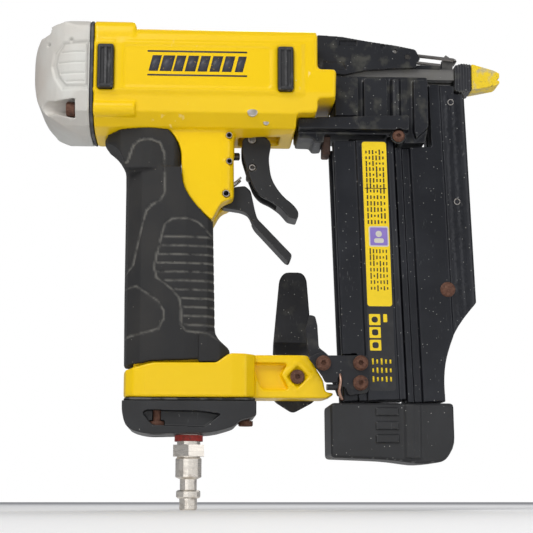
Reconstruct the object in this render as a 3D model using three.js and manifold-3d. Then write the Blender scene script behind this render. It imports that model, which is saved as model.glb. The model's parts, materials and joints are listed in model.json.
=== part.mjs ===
// Pneumatic pin nailer with a dual trigger, built as the assembly that comes apart on a bench.
// Millimetres. +X is the way the pins are driven, +Z runs from the air plug up to the barrel,
// and -Y is the left side of the tool. The origin is the middle of the whole tool.

import * as THREE from 'three';
import { mergeVertices } from 'three/addons/utils/BufferGeometryUtils.js';
import Module from 'manifold-3d';

const wasm = await Module();
wasm.setup();

// ---- Driving dimensions ----------------------------------------------------------------------

const GAP = 0.3;                        // air left between pieces that touch
const TURNING = 0.12;                   // clearance round a pin that something turns on
const CENTRE = { x: 1, z: 0.3 };         // middle of the tool, in the sketch axes used below

const DRIVE_Z = 92.5;                   // height of the piston and driver axis
const BARREL = { back: -82, half: 27, low: 60.6, top: 111.7, rearTop: 115.1 };
const CYLINDER = { bore: 16.9, outer: 16.4, inner: 14.2, end: 14 };
const CAP = { open: -83.9, chamber: 17.4 };
const PAD = { proud: 30, inner: 26.2, low: 78.6, high: 99.6 };
const HANDLE = { half: 19, airHalf: 7 };
const BAND = { half: 19, bottom: -63.5 };
const ARM = { half: 10 };
const BASE = { top: -65.1, half: 18 };
const PLUG = { x: -36.3, bore: 2.6, flats: 14.3, tip: -114.5 };
const TRIGGER = { x: -7.3, z: 60.3, half: 7.5, slot: 4.7 };
const LINK = { x: -7.2, z: 46.6, half: 1.6 };
const LEVER = { x: -19.8, z: 31.7, half: 3.8 };
const VALVE = { z: 53.6, radius: 5.6, stem: 1.9, mouth: -16.6 };
const NOSE = { half: 14, bandHalf: 17, guideTop: 97, front: 91 };
const DOOR = { x: 33, z: 99.4 };
const JAM = { x: 68, z: 102.2, half: 9 };
const BAIL = { x: 62, z: 105, reach: 92.2, wire: 0.9, half: 5.2 };
const MAGAZINE = { lean: 2, pivotX: 64, half: 12.6, slot: 1.7, split: 62.7, top: 60.2, bottom: -64 };
const LATCH = { x: 25.5, z: -47.5 };
const HOOK = { x: 13.9, z: -53.4, inner: 20.5, outer: 23 };

// ---- Materials -------------------------------------------------------------------------------

function finish(color, roughness, metalness) {
  return new THREE.MeshStandardMaterial({ color, roughness, metalness });
}

const yellowPaint = finish(0xffd800, 0.4, 0);
const silverPaint = finish(0xc9c9c2, 0.5, 0.3);
const gripRubber = finish(0x2b2c2f, 0.9, 0);
const sealRubber = finish(0x1b1b1c, 0.8, 0);
const blackPlastic = finish(0x24262b, 0.6, 0);
const blackAluminium = finish(0x23272f, 0.45, 0.4);
const steel = finish(0x9c9a94, 0.35, 1);
const rustySteel = finish(0x8a5a44, 0.7, 0.7);
const springSteel = finish(0x6d6a66, 0.4, 1);
const aluminium = finish(0xb9bcc0, 0.4, 1);
const redSealant = finish(0xa03a2c, 0.7, 0);

// ---- Solids ----------------------------------------------------------------------------------

// A closed geometry as a solid that can be joined and cut.
function solid(geometry) {
  geometry.deleteAttribute('normal');
  geometry.deleteAttribute('uv');
  const merged = mergeVertices(geometry, 1e-4);
  const index = merged.index.array;
  const kept = [];
  for (let i = 0; i < index.length; i += 3) {
    const [a, b, c] = [index[i], index[i + 1], index[i + 2]];
    if (a !== b && b !== c && c !== a) kept.push(a, b, c);
  }
  return new wasm.Manifold(new wasm.Mesh({
    numProp: 3,
    vertProperties: new Float32Array(merged.attributes.position.array),
    triVerts: new Uint32Array(kept),
  }));
}

function join(first, ...others) {
  return others.reduce((sum, other) => sum.add(other), first);
}

function cut(first, ...others) {
  return others.reduce((rest, other) => rest.subtract(other), first);
}

function common(first, ...others) {
  return others.reduce((rest, other) => rest.intersect(other), first);
}

// A closed outline from [across, up, corner radius] points; a missing radius is a sharp corner.
// A corner too tight for the eased edge that follows stays sharp.
function outline(points, ease = 0) {
  const shape = new THREE.Shape();
  const count = points.length;
  for (let i = 0; i < count; i += 1) {
    const [x, y, radius = 0] = points[i];
    const corner = new THREE.Vector2(x, y);
    const before = new THREE.Vector2(...points[(i + count - 1) % count].slice(0, 2)).sub(corner);
    const after = new THREE.Vector2(...points[(i + 1) % count].slice(0, 2)).sub(corner);
    const room = Math.min(before.length() * 0.49, after.length() * 0.49);
    const wanted = radius > 0 ? Math.min(Math.max(radius, 1.8 * ease), room) : 0;
    const reach = wanted < 1.5 * ease ? 0 : wanted;
    const start = before.setLength(reach).add(corner);
    const end = after.setLength(reach).add(corner);
    if (i === 0) shape.moveTo(start.x, start.y);
    else shape.lineTo(start.x, start.y);
    if (reach > 0) shape.quadraticCurveTo(x, y, end.x, end.y);
  }
  shape.closePath();
  return shape;
}

// An outline swept over a depth, with its two end edges eased by `ease`.
function sweep(shape, depth, ease, curveSegments = 3) {
  return new THREE.ExtrudeGeometry(shape, {
    depth: depth - 2 * ease,
    bevelEnabled: ease > 0,
    bevelThickness: ease,
    bevelSize: ease,
    bevelOffset: -ease,
    bevelSegments: ease > 3 ? 3 : 1,
    curveSegments,
  });
}

// Side outline in X and Z, swept across Y.
function sideSlab(points, yLow, yHigh, ease = 0) {
  const geometry = sweep(outline(points, ease), yHigh - yLow, ease);
  geometry.rotateX(Math.PI / 2);
  geometry.translate(0, yHigh - ease, 0);
  return solid(geometry);
}

// End outline in Y and Z, swept along X.
function endSlab(points, xLow, xHigh, ease = 0) {
  const geometry = sweep(outline(points, ease), xHigh - xLow, ease);
  geometry.rotateX(Math.PI / 2);
  geometry.rotateZ(Math.PI / 2);
  geometry.translate(xLow + ease, 0, 0);
  return solid(geometry);
}

// Plan outline in X and Y, swept up Z.
function planSlab(points, zLow, zHigh, ease = 0) {
  const geometry = sweep(outline(points, ease), zHigh - zLow, ease);
  geometry.translate(0, 0, zLow + ease);
  return solid(geometry);
}

function block(xLow, xHigh, yLow, yHigh, zLow, zHigh) {
  const geometry = new THREE.BoxGeometry(xHigh - xLow, yHigh - yLow, zHigh - zLow);
  geometry.translate((xLow + xHigh) / 2, (yLow + yHigh) / 2, (zLow + zHigh) / 2);
  return solid(geometry);
}

// A turned profile of [along, radius] points on the axis through (x, y, z).
function turned(profile, axis, x, y, z, sides = 16) {
  const points = profile.map(([along, radius]) => new THREE.Vector2(radius, along));
  const geometry = new THREE.LatheGeometry(points, sides);
  if (axis === 'x') geometry.rotateZ(-Math.PI / 2);
  if (axis === 'z') geometry.rotateX(Math.PI / 2);
  geometry.translate(x, y, z);
  return solid(geometry);
}

function rod(axis, x, y, z, low, high, radius, sides = 16) {
  return turned([[low, 0], [low, radius], [high, radius], [high, 0]], axis, x, y, z, sides);
}

function tube(axis, x, y, z, low, high, inner, outer, sides = 24) {
  const profile = [[low, inner], [low, outer], [high, outer], [high, inner], [low, inner]];
  return turned(profile, axis, x, y, z, sides);
}

function hexPrism(axis, x, y, z, low, high, flats) {
  return rod(axis, x, y, z, low, high, flats / Math.sqrt(3), 6);
}

class Helix extends THREE.Curve {
  constructor(radius, length, turns) {
    super();
    Object.assign(this, { radius, length, turns });
  }

  getPoint(t, target = new THREE.Vector3()) {
    const angle = t * this.turns * 2 * Math.PI;
    const across = this.radius * Math.cos(angle);
    const up = this.radius * Math.sin(angle);
    return target.set(across, up, t * this.length);
  }
}

// A round wire swept along a curve.
function wire(curve, radius, steps, sides = 5) {
  const section = new THREE.Shape();
  for (let i = 0; i < sides; i += 1) {
    const angle = (i / sides) * 2 * Math.PI;
    const point = [radius * Math.cos(angle), radius * Math.sin(angle)];
    if (i === 0) section.moveTo(...point);
    else section.lineTo(...point);
  }
  section.closePath();
  return new THREE.ExtrudeGeometry(section, { steps, extrudePath: curve, bevelEnabled: false });
}

// A coil spring on an axis, from low to high.
function coil(axis, x, y, z, low, high, radius, thickness, turns) {
  const length = high - low - 2 * thickness;
  const geometry = wire(new Helix(radius, length, turns), thickness, turns * 7);
  geometry.translate(0, 0, low + thickness);
  if (axis === 'x') geometry.rotateY(Math.PI / 2);
  if (axis === 'y') geometry.rotateX(-Math.PI / 2);
  geometry.translate(x, y, z);
  return solid(geometry);
}

// ---- The assembly ----------------------------------------------------------------------------

const tool = new THREE.Group();
tool.position.set(-CENTRE.x, 0, -CENTRE.z);

const magazineGroup = new THREE.Group();
magazineGroup.position.set(MAGAZINE.pivotX, 0, 0);
magazineGroup.rotation.y = THREE.MathUtils.degToRad(-MAGAZINE.lean);
tool.add(magazineGroup);

function place(name, body, material, group = tool) {
  const mesh = body.getMesh();
  const geometry = new THREE.BufferGeometry();
  geometry.setAttribute('position', new THREE.BufferAttribute(mesh.vertProperties, 3));
  geometry.setIndex(new THREE.BufferAttribute(mesh.triVerts, 1));
  geometry.computeVertexNormals();
  const piece = new THREE.Mesh(geometry, material);
  piece.name = name;
  if (group === magazineGroup) piece.position.x = -MAGAZINE.pivotX;
  group.add(piece);
}

// A socket-head screw. `into` is +1 or -1: the way the shank points along the axis.
function screw(axis, x, y, z, into, size, grow = 0) {
  const { head, rise, shank, length } = size;
  const top = -into * (rise + (grow ? 20 : 0));
  const headRod = rod(axis, x, y, z, Math.min(top, 0), Math.max(top, 0), head + grow, 12);
  const end = into * (length + grow);
  const from = -into * 0.2;
  const shankRod = rod(axis, x, y, z, Math.min(from, end), Math.max(from, end), shank + grow, 8);
  const whole = join(headRod, shankRod);
  if (grow) return whole;
  const socketFrom = -into * (rise - rise * 0.6);
  const socketTo = -into * (rise + 1);
  const low = Math.min(socketFrom, socketTo);
  const high = Math.max(socketFrom, socketTo);
  return cut(whole, hexPrism(axis, x, y, z, low, high, head * 0.95));
}

// ---- Housing and handle ----------------------------------------------------------------------

// The barrel seen from its end: round below, with shoulders up to a slightly crowned top.
function barrelEnd(top) {
  const { half, low } = BARREL;
  return [
    [-half, low, 18], [half, low, 18], [half, top - 3.5, 5], [13, top, 6], [-13, top, 6],
    [-half, top - 3.5, 5],
  ];
}

const barrelSide = [
  [-82, 58], [-82, BARREL.top], [-10, BARREL.top], [17, 111, 3], [22.7, 108.6, 2],
  [22.7, 90, 1], [31.5, 90, 1], [31.2, 76, 1], [22.7, 75.8, 1], [22.7, 69.2, 1], [13, 69, 1],
  [12.8, 61.6, 1], [-8, 61, 3], [-16, 56], [-60, 56], [-78, 58],
];

// The raised top at the rear, over the heads of the cap's two upper screws.
const rearTopSide = [
  [-82, 100], [-82, BARREL.rearTop], [-66.4, BARREL.rearTop, 2], [-62.6, BARREL.top, 2], [-62, 100],
];

const neckSide = [
  [-76, 68], [-10, 68], [-11, 58.6, 3], [-16.2, 52, 4], [-15.9, 30, 2], [-22, 27.5, 2],
  [-26.5, 19, 1], [-33.5, 25.3, 4], [-40.5, 35, 6], [-41, 55, 5], [-48.4, 64.6, 4], [-60, 66.2],
];

const bandSide = [
  [-66.5, -51.4, 1], [-53, -47.8, 2], [-23.9, -47.7, 1], [-17.8, -43.3, 2],
  [-6, -43.5], [-5, -63.5], [-66.5, -63.5],
];

const armSide = [
  [-14, -43.3], [18.8, -43.3, 2], [25.9, -55.1, 1], [26.8, -60.4, 1],
  [30.4, -60.8, 1], [30.6, -61.9, 0.5], [26.5, -63.4, 1], [-14, -63.4],
];

// The neck's outline with its rear and lower edge moved out, for the rubber that meets it there.
function grown(points, grow) {
  const tip = -27;
  return points.map(([x, z, round = 0]) => {
    if (x < tip) return [x - grow, z - grow, round];
    return z < 20 ? [x, z - 2 * grow, round] : [x, z, round];
  });
}

// Everything the housing fills before it is hollowed; `grow` widens it for the pieces around it.
function housingForm(grow) {
  const width = BARREL.half + grow;
  const barrel = common(
    sideSlab(barrelSide, -width, width, 1),
    endSlab(barrelEnd(BARREL.top), BARREL.back - 1, 40),
  );
  const rearTop = common(
    sideSlab(rearTopSide, -width, width, 1),
    endSlab(barrelEnd(BARREL.rearTop), BARREL.back - 1, 0),
  );
  const bosses = [-1, 1].map((side) => rod('x', 0, side * 23.4, 70.2, BARREL.back, -62.5, 4, 16));
  const tab = block(22, 31.4, -BARREL.half + 5, BARREL.half - 5, 76, 90);
  const neckPlan = [[-80, -17 - grow], [-15.8, -17 - grow, 6], [-15.8, 17 + grow, 6], [-80, 17 + grow]];
  const neck = common(sideSlab(grown(neckSide, grow), -40, 40), planSlab(neckPlan, -60, 80));
  const core = block(-62 - grow, -29 + grow, -13 - grow, 13 + grow, -50, 30);
  const band = common(sideSlab(bandSide, -BAND.half, BAND.half), bandRound());
  const arm = sideSlab(armSide, -ARM.half, ARM.half);
  return { barrel: join(barrel, rearTop, tab, ...bosses), neck, core, band, arm };
}

// Rounds the back and front of the band below the handle.
function bandRound() {
  const { half } = BAND;
  return planSlab([[-66.5, -half, 10], [-5, -half, 12], [-5, half, 12], [-66.5, half, 10]], -70, -40);
}

function housing() {
  const form = housingForm(0);
  const lug = block(-11, -3.6, -3.9, 3.9, 56.6, 70);
  const solidForm = join(form.barrel, form.neck, form.core, form.band, form.arm);
  const bore = rod('x', 0, 0, DRIVE_Z, BARREL.back - 1, CYLINDER.end, CYLINDER.bore, 32);
  const driverHole = rod('x', 0, 0, DRIVE_Z, CYLINDER.end - 1, 40, 3, 12);
  const airWay = block(-56, -37, -HANDLE.airHalf, HANDLE.airHalf, -80, 80);
  const valveHole = rod('x', 0, 0, VALVE.z, -40, -10, VALVE.radius + GAP, 16);
  const leverSlot = block(-28, -10, -LEVER.half - 1, LEVER.half + 1, 22, 42.5);
  const triggerRoom = block(-13.4, 6, -TRIGGER.half - 0.7, TRIGGER.half + 0.7, 50, 65.4);
  const pinHoles = [
    rod('y', TRIGGER.x, 0, TRIGGER.z, -8, 8, 1.7 + GAP, 12),
    rod('y', LEVER.x, 0, LEVER.z, -40, 40, 1.5 + GAP, 12),
    rod('y', -18.5, 0, 59.9, -40, 40, 1.25 + GAP, 8),
    rod('y', -18.3, 0, 47.3, -40, 40, 1.25 + GAP, 8),
    rod('y', HOOK.x, 0, HOOK.z, -40, 40, 2.4 + GAP, 12),
  ];
  const hollow = cut(solidForm, bore, driverHole, airWay, valveHole, leverSlot, triggerRoom);
  const hidden = [...padRoom(), ...capScrewHoles(), ...baseScrewHoles(), ...armDetail()];
  return cut(join(hollow, lug), ...pinHoles, ...hidden, sidePanel(-1), sidePanel(1), plateRoom());
}

// The shallow recess between the two bumpers on each side of the barrel.
function sidePanel(side) {
  const depth = 0.4;
  const y = side * BARREL.half;
  return sideSlab([[-68.5, 79.5, 2], [1, 79.5, 2], [1, 100, 2], [-68.5, 100, 2]], y - depth, y + depth);
}

const padPlaces = [['rear', -80.1, -72.7], ['front', 3.9, 11.1]];

function padRoom() {
  const rooms = [];
  for (const [, left, right] of padPlaces) {
    for (const side of [-1, 1]) {
      const inner = side * (PAD.inner - 2.2);
      const outer = side * (BARREL.half + 2);
      const low = Math.min(inner, outer);
      const high = Math.max(inner, outer);
      rooms.push(block(left - GAP, right + GAP, low, high, PAD.low - GAP, PAD.high + GAP));
    }
  }
  return rooms;
}

function bumperPad(left, right, side) {
  const inner = side * (PAD.inner - 2.2 + GAP);
  const outer = side * PAD.proud;
  const low = Math.min(inner, outer);
  const high = Math.max(inner, outer);
  const middle = (left + right) / 2;
  const body = block(left, right, low, high, PAD.low, PAD.high);
  const face = side * (PAD.proud - 0.7);
  const deep = [Math.min(face, face + side * 2), Math.max(face, face + side * 2)];
  const grooves = [-1.5, 1.5].map((x) => {
    return block(middle + x - 0.8, middle + x + 0.8, deep[0], deep[1], PAD.low + 2, PAD.high - 2);
  });
  return cut(body, ...grooves);
}

// Blind recesses in the arm: the pocket, and the seat of the belt hook.
function armDetail() {
  const pocket = [[-7.6, -46.9, 1], [9.5, -47.1, 1], [6.2, -52.4, 1], [10.1, -59.5, 1], [-2.8, -59.5, 2]];
  return [
    sideSlab(pocket, -ARM.half - 1, -ARM.half + 4),
    sideSlab(pocket, ARM.half - 4, ARM.half + 1),
    rod('y', HOOK.x, 0, HOOK.z, -ARM.half - 1, -ARM.half + 1.6, 5.2, 4),
  ];
}

// Room at the end of the arm for the latch spring and its pin.
function plateRoom() {
  return block(27, 32, -ARM.half - 1, -4, -60, -56.6);
}

const gripSide = [
  [-77.6, 64.6, 3], [-60, 66.2, 4], [-48.4, 64.6, 4], [-41, 55, 5], [-40.5, 35, 6], [-33.5, 25.3, 4],
  [-25.8, 19.6, 2], [-25.2, -6], [-24.6, -33.4, 2], [-23.2, -37, 2], [-21.4, -45.6], [-54, -46.9],
  [-66.8, -50.2, 1], [-67.2, -16], [-67.2, 37], [-67.4, 47, 6], [-71, 54, 6], [-77.6, 57.6, 1],
];

// The rounded section of the handle, from one height to another.
function handlePlan(back, front, zLow, zHigh) {
  const { half } = HANDLE;
  const round = 22;
  return planSlab([
    [back, -half, round], [front, -half, round], [front, half, round], [back, half, round],
  ], zLow, zHigh);
}

function grip() {
  const form = housingForm(GAP);
  const side = sideSlab(gripSide, -HANDLE.half, HANDLE.half);
  const sleeve = join(
    common(side, handlePlan(-67.4, -20, -60, 44)),
    common(side, handlePlan(-77.8, -36, 43, 70)),
  );
  const bandRoom = sideSlab(
    [[-90, -51.1], [-53, -47.4], [-23.5, -47.3], [-17.7, -42.9], [-10, -42], [-10, -80],
      [-90, -80]], -40, 40,
  );
  const lip = common(
    sideSlab([[-32, -34], [-24.9, -33.4, 2], [-23.2, -37, 2], [-17.6, -41.4, 0.5], [-17.6, -47.4],
      [-32, -47.4]], -19, 19),
    planSlab([[-40, -19, 2], [-17.4, -19, 14], [-17.4, 19, 14], [-40, 19, 2]], -60, -30),
  );
  return cut(join(sleeve, lip), form.barrel, form.neck, form.core, bandRoom);
}

// ---- Rear cap --------------------------------------------------------------------------------

const capSide = [
  [CAP.open, 58], [-89, 60.8], [-95.6, 62.2, 3], [-104, 66.8, 4], [-109, 74.4, 4], [-111.5, 87, 6],
  [-111.5, 97, 6], [-109, 104.6, 4], [-102.6, 110.4, 4], [-95.6, 111.2, 3], [-91.2, BARREL.rearTop, 2],
  [CAP.open, BARREL.rearTop + 1],
];
const capPlan = [
  [CAP.open, -27], [-92, -26.6, 4], [-101, -23, 8], [-108, -16, 6], [-111.5, -8, 4],
  [-111.5, 8, 4], [-108, 16, 6], [-101, 23, 8], [-92, 26.6, 4], [CAP.open, 27],
];
const capScrews = [[-17.5, 109], [17.5, 109], [-20.5, 70.2], [20.5, 70.2]];
const capScrewSize = { head: 3.4, rise: 4, shank: 2, length: 22 };

function capScrewHoles() {
  return capScrews.map(([y, z]) => screw('x', -90.4, y, z, 1, capScrewSize, GAP));
}

function rearCap() {
  const shell = common(
    sideSlab(capSide, -28, 28),
    planSlab(capPlan, 50, 130),
    endSlab(barrelEnd(BARREL.rearTop), -115, CAP.open),
  );
  const chamber = rod('x', 0, 0, DRIVE_Z, -104, CAP.open + 1, CAP.chamber, 24);
  const lowPockets = capScrews.slice(2).map(([y, z]) => {
    const scoop = [[-107, 0], [-105.6, 1.6], [-90.4, 5], [-90.4, 0]];
    return turned(scoop, 'x', 0, y + Math.sign(y) * 2.6, z, 20);
  });
  return cut(shell, chamber, ...lowPockets, ...capScrewHoles());
}

function capGasket() {
  const plate = endSlab(barrelEnd(BARREL.rearTop), CAP.open + GAP, BARREL.back - GAP);
  const room = rod('x', 0, 0, DRIVE_Z, -90, -80, CAP.chamber, 24);
  return cut(plate, room, ...capScrewHoles());
}

// ---- Base cap and air plug -------------------------------------------------------------------

const baseSide = [
  [-5.5, BASE.top], [-5.5, -72, 1], [-13.3, -74, 2], [-15.2, -76.6, 2], [-25, -79.7, 5],
  [-56.5, -80.4, 5], [-65, -77.6, 5], [-66.8, -70, 3], [-66.8, BASE.top],
];
const baseWindow = [
  [-57.5, -70.6, 1], [-55.6, -69.4, 1], [-30.8, -69.9, 1], [-21.5, -71.2, 1], [-29, -77, 1],
  [-53, -76.2, 2],
];
const baseScrews = [[-50.9, -13.4, -74.2], [-50.9, 13.4, -74.2], [-9.8, 0, -73.2]];
const baseScrewSize = { head: 3.4, rise: 2.4, shank: 1.9, length: 18 };

function baseScrewHoles() {
  return baseScrews.map(([x, y, z]) => screw('z', x, y, z, 1, baseScrewSize, GAP));
}

function baseCap() {
  const shell = sideSlab(baseSide, -BASE.half, BASE.half);
  const windows = [
    sideSlab(baseWindow, -BASE.half - 1, -BASE.half + 3.6),
    sideSlab(baseWindow, BASE.half - 3.6, BASE.half + 1),
  ];
  const inlet = rod('z', PLUG.x, 0, 0, -90, -60, 6.4 + GAP, 24);
  return cut(shell, ...windows, inlet, ...baseScrewHoles());
}

function baseGasket() {
  const plan = [[-66.2, -BAND.half + 0.6, 5], [-5.8, -17.5, 3], [-5.8, 17.5, 3],
    [-66.2, BAND.half - 0.6, 5]];
  const room = block(-57, -25, -9, 9, -70, -60);
  return cut(planSlab(plan, BASE.top + GAP, BAND.bottom - GAP), room, ...baseScrewHoles());
}

function airPlug() {
  const bore = PLUG.bore;
  const tip = PLUG.tip;
  const body = turned([
    [tip, bore], [tip, 3.6], [tip + 0.6, 4.1], [-109.2, 4.1], [-109, 5], [-108.4, 5.6], [-106, 5.6],
    [-105.4, 5], [-105.2, 3.9], [-100.4, 3.9], [-99.4, 6.05], [-91, 6.05], [-90.4, 5.4], [-84, 5.4],
    [-83, 5.4], [-82, 5.4], [-78.4, 5.4], [-78.2, 6.4], [-67.5, 6.4], [-67.5, bore], [tip, bore],
  ], 'z', PLUG.x, 0, 0, 16);
  const nut = cut(
    hexPrism('z', PLUG.x, 0, 0, -89.9, -84.6, PLUG.flats),
    rod('z', PLUG.x, 0, 0, -95, -80, bore, 16),
  );
  return join(body, nut);
}

// ---- Trigger group ---------------------------------------------------------------------------

const triggerSide = [
  [-12, 59.9, 1], [-8.1, 63, 2], [-3.7, 63.8, 2], [1.5, 59.6, 1.5], [1.7, 56.6, 1], [0.6, 51, 3],
  [1.7, 42.1, 3], [4.1, 37.1, 3], [8, 32.2, 3], [12.4, 28.8, 2], [15.1, 25, 2], [14.4, 21.6, 1],
  [10.2, 22.6, 1], [6.5, 27, 2], [2, 30.2, 2], [-3.2, 32.6, 2], [-6.1, 36, 2], [-8.5, 42], [-12, 53.4, 2],
];
const triggerChannel = [
  [-20, 68], [-2.2, 68], [-2.2, 57], [-2.8, 49], [-1.7, 41], [1.2, 35], [5.2, 30], [3, 25], [-20, 25],
];

function trigger() {
  const half = TRIGGER.half;
  const body = sideSlab(triggerSide, -half, half);
  const channel = sideSlab(triggerChannel, -TRIGGER.slot, TRIGGER.slot);
  const pivot = rod('y', TRIGGER.x, 0, TRIGGER.z, -10, 10, 1.7 + GAP, 12);
  const linkHole = rod('y', LINK.x, 0, LINK.z, -10, 10, 1.6 + GAP, 12);
  return cut(body, channel, pivot, linkHole);
}

function triggerLink() {
  const side = [[-11.4, 56, 1], [-9.4, 56.1, 1], [-5, 48, 1], [-5, 44, 1], [-8.4, 41, 1],
    [-10, 42, 1], [-9.6, 50]];
  const hole = rod('y', LINK.x, 0, LINK.z, -10, 10, 1.6 + TURNING, 12);
  return cut(sideSlab(side, -LINK.half, LINK.half), hole);
}

const leverSide = [
  [-22.6, 29.8, 2], [-22.4, 35, 2], [-15.3, 37.9, 2], [-10.4, 38.4, 1], [-7.7, 35.9, 1], [-5.5, 25.5, 2],
  [-4.5, 22.3, 3], [12, 4.9, 1], [10.8, 1.2, 1], [9.1, 1.9, 1], [-5.8, 18.2, 2], [-8.9, 25, 2],
  [-12.8, 26.4, 1], [-21, 27.6, 1],
];

function safetyLever() {
  const body = sideSlab(leverSide, -LEVER.half, LEVER.half);
  const paddle = sideSlab(
    [[-7.4, 21.4, 1], [-4.8, 22.2, 1], [11.8, 4.8, 1], [10.7, 1.5, 1], [9.1, 2.1, 1],
      [-5.8, 18.2, 1]], -6, 6,
  );
  const hole = rod('y', LEVER.x, 0, LEVER.z, -10, 10, 1.5 + TURNING, 12);
  return cut(join(body, paddle), hole);
}

function valveBushing() {
  const { radius, stem, mouth } = VALVE;
  const groove = radius - 1.15;
  return turned([
    [-34, 4.3], [-34, radius], [-20.4, radius], [-20.4, groove], [-16.9, groove], [mouth, groove],
    [mouth, stem + 0.1], [-22, stem + 0.1], [-22, 4.3], [-34, 4.3],
  ], 'x', 0, 0, VALVE.z, 20);
}

function valveStem() {
  const { stem } = VALVE;
  return turned([
    [-30, 0], [-30, stem], [-24, stem], [-24, 3.8], [-22.3, 3.8], [-22.3, stem], [-13.4, stem],
    [-12.9, 1.3], [-12.9, 0],
  ], 'x', 0, 0, VALVE.z, 12);
}

// ---- Drive -----------------------------------------------------------------------------------

function piston() {
  const disc = turned([
    [-82, 0], [-82, 13.8], [-79, 13.8], [-79, 12.2], [-76, 12.2], [-76, 13.8], [-72, 13.8], [-72, 6],
    [-66, 4], [-66, 1.2], [-65, 0],
  ], 'x', 0, 0, DRIVE_Z, 24);
  return cut(disc, rod('x', 0, 0, DRIVE_Z, -70.5, -60, 1.5, 10));
}

function headValve() {
  return turned([
    [-96, 0], [-96, 10], [-98.6, 10], [-98.6, 15.8], [-90, 15.8], [-90, 16.8], [-87, 16.8], [-87, 14.4],
    [-85.3, 14.4], [-85.3, 0],
  ], 'x', 0, 0, DRIVE_Z, 24);
}

// ---- Nose ------------------------------------------------------------------------------------

const noseSide = [
  [23.1, 71], [31.9, 71], [31.9, 91.4], [77, 91.4], [77, 66], [75.6, 58.8, 1], [58, 58.4, 3],
  [57, 62.4], [27.2, 62.4],
  [26.8, 58.4, 1], [22.6, 58.2, 1], [21.4, 60.4, 1], [14.4, 60.6, 1], [14.4, 68.6], [23.1, 68.6],
];

function noseFrame() {
  const middle = sideSlab(noseSide, -NOSE.half + 3, NOSE.half - 3);
  const cheeks = [-1, 1].map((side) => {
    const inner = side * (NOSE.half - 4);
    const raised = side * NOSE.half;
    const low = Math.min(inner, raised);
    const high = Math.max(inner, raised);
    const panel = sideSlab([[32.2, 71], [32.2, 90.2, 1], [43, 90.2, 1], [43, 71]], low, high);
    const flat = sideSlab([[46, 70], [46, 89.6, 1], [57, 89.6, 1], [57, 70]], low, high);
    const front = sideSlab([[69.9, 64], [69.9, 89.3, 1], [76.8, 89.3, 1], [76.8, 66, 1],
      [71, 60.4]], low, high);
    const rib = rod('z', 61.5, side * (NOSE.half - 3.4), 0, 70, 89.8, 2.6, 10);
    const barLow = Math.min(inner, side * NOSE.bandHalf);
    const barHigh = Math.max(inner, side * NOSE.bandHalf);
    const band = sideSlab([[14.2, 63.6, 1], [67, 63.6, 1], [67, 70.8, 1],
      [14.2, 69, 1]], barLow, barHigh);
    return join(panel, flat, front, rib, band);
  });
  const boss = rod('y', 62.2, 0, 61.1, -NOSE.half, NOSE.half, 3.7, 14);
  const driverHole = rod('x', 0, 0, DRIVE_Z, 20, 34, 3, 12);
  const housingRoom = block(0, 23.1, -40, 40, 68.7, 80);
  const tabRoom = block(20, 31.8, -40, 40, 75.6, 95);
  const channel = block(40, 80, -MAGAZINE.slot, MAGAZINE.slot, 50, 93);
  const screwRoom = [-1, 1].map((side) => screw('y', 62.2, side * (NOSE.half + 0.2), 61.1, -side,
    noseScrewSize, GAP));
  const magazineRoom = block(28, 62.6, -MAGAZINE.half - 0.5, MAGAZINE.half + 0.5, 50, 61.4);
  const bladeWay = block(20, 80, -1.8, 1.8, 91, 93);
  const whole = join(middle, ...cheeks, boss);
  return cut(whole, housingRoom, tabRoom, channel, bladeWay, driverHole, magazineRoom, ...screwRoom);
}

const noseScrewSize = { head: 2.9, rise: 1.6, shank: 1.6, length: 9 };

function driverGuide() {
  const bar = block(31.9, NOSE.front, -6, 6, 91.7, NOSE.guideTop);
  const ears = [-1, 1].map((side) => {
    const low = side < 0 ? -3.7 : 2.1;
    return sideSlab([[85.5, 96], [91, 96], [91, 102.7], [87.7, 105.2, 0.5],
      [86.6, 103.8]], low, low + 1.6);
  });
  const hingeLugs = [-1, 1].map((side) => {
    const low = side < 0 ? -6 : 4.2;
    return sideSlab([[32, 96], [36.5, 96], [35.4, 101.2, 1], [31.9, 101.2, 1]], low, low + 1.8);
  });
  const groove = block(20, 100, -1.8, 1.8, 91, 94.4);
  return cut(join(bar, ...ears, ...hingeLugs), groove, rod('y', DOOR.x, 0, DOOR.z, -8, 8, 0.9, 8));
}

function noseDoor() {
  const plate = block(37.2, 84.6, -5.6, 5.6, NOSE.guideTop + GAP, 99.3);
  const knuckle = sideSlab([[31.8, 98.4, 1], [38, 97.4], [38, 100.2], [34, 101.2, 1],
    [31.8, 100.6, 1]], -3.9, 3.9);
  const lugs = sideSlab([[64.4, 99], [71.6, 99], [70.6, 103.8, 1.5], [65.4, 103.8, 1.5]], -3.2, 3.2);
  const hingeHole = rod('y', DOOR.x, 0, DOOR.z, -8, 8, 0.9, 8);
  return cut(join(plate, knuckle, lugs), hingeHole, rod('y', JAM.x, 0, JAM.z, -8, 8, 1.25 + TURNING, 10));
}

const jamSide = [
  [24, 112.6, 1], [35.9, 111.9], [49, 109.7], [62.1, 107.9], [72, 106, 1], [74.4, 101, 1], [72, 99.8, 1],
  [60, 99.9], [40, 99.7], [37.6, 101.8], [31, 101.8], [31, 93.2, 1], [25.4, 93.4, 1], [24.4, 98],
];

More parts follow.
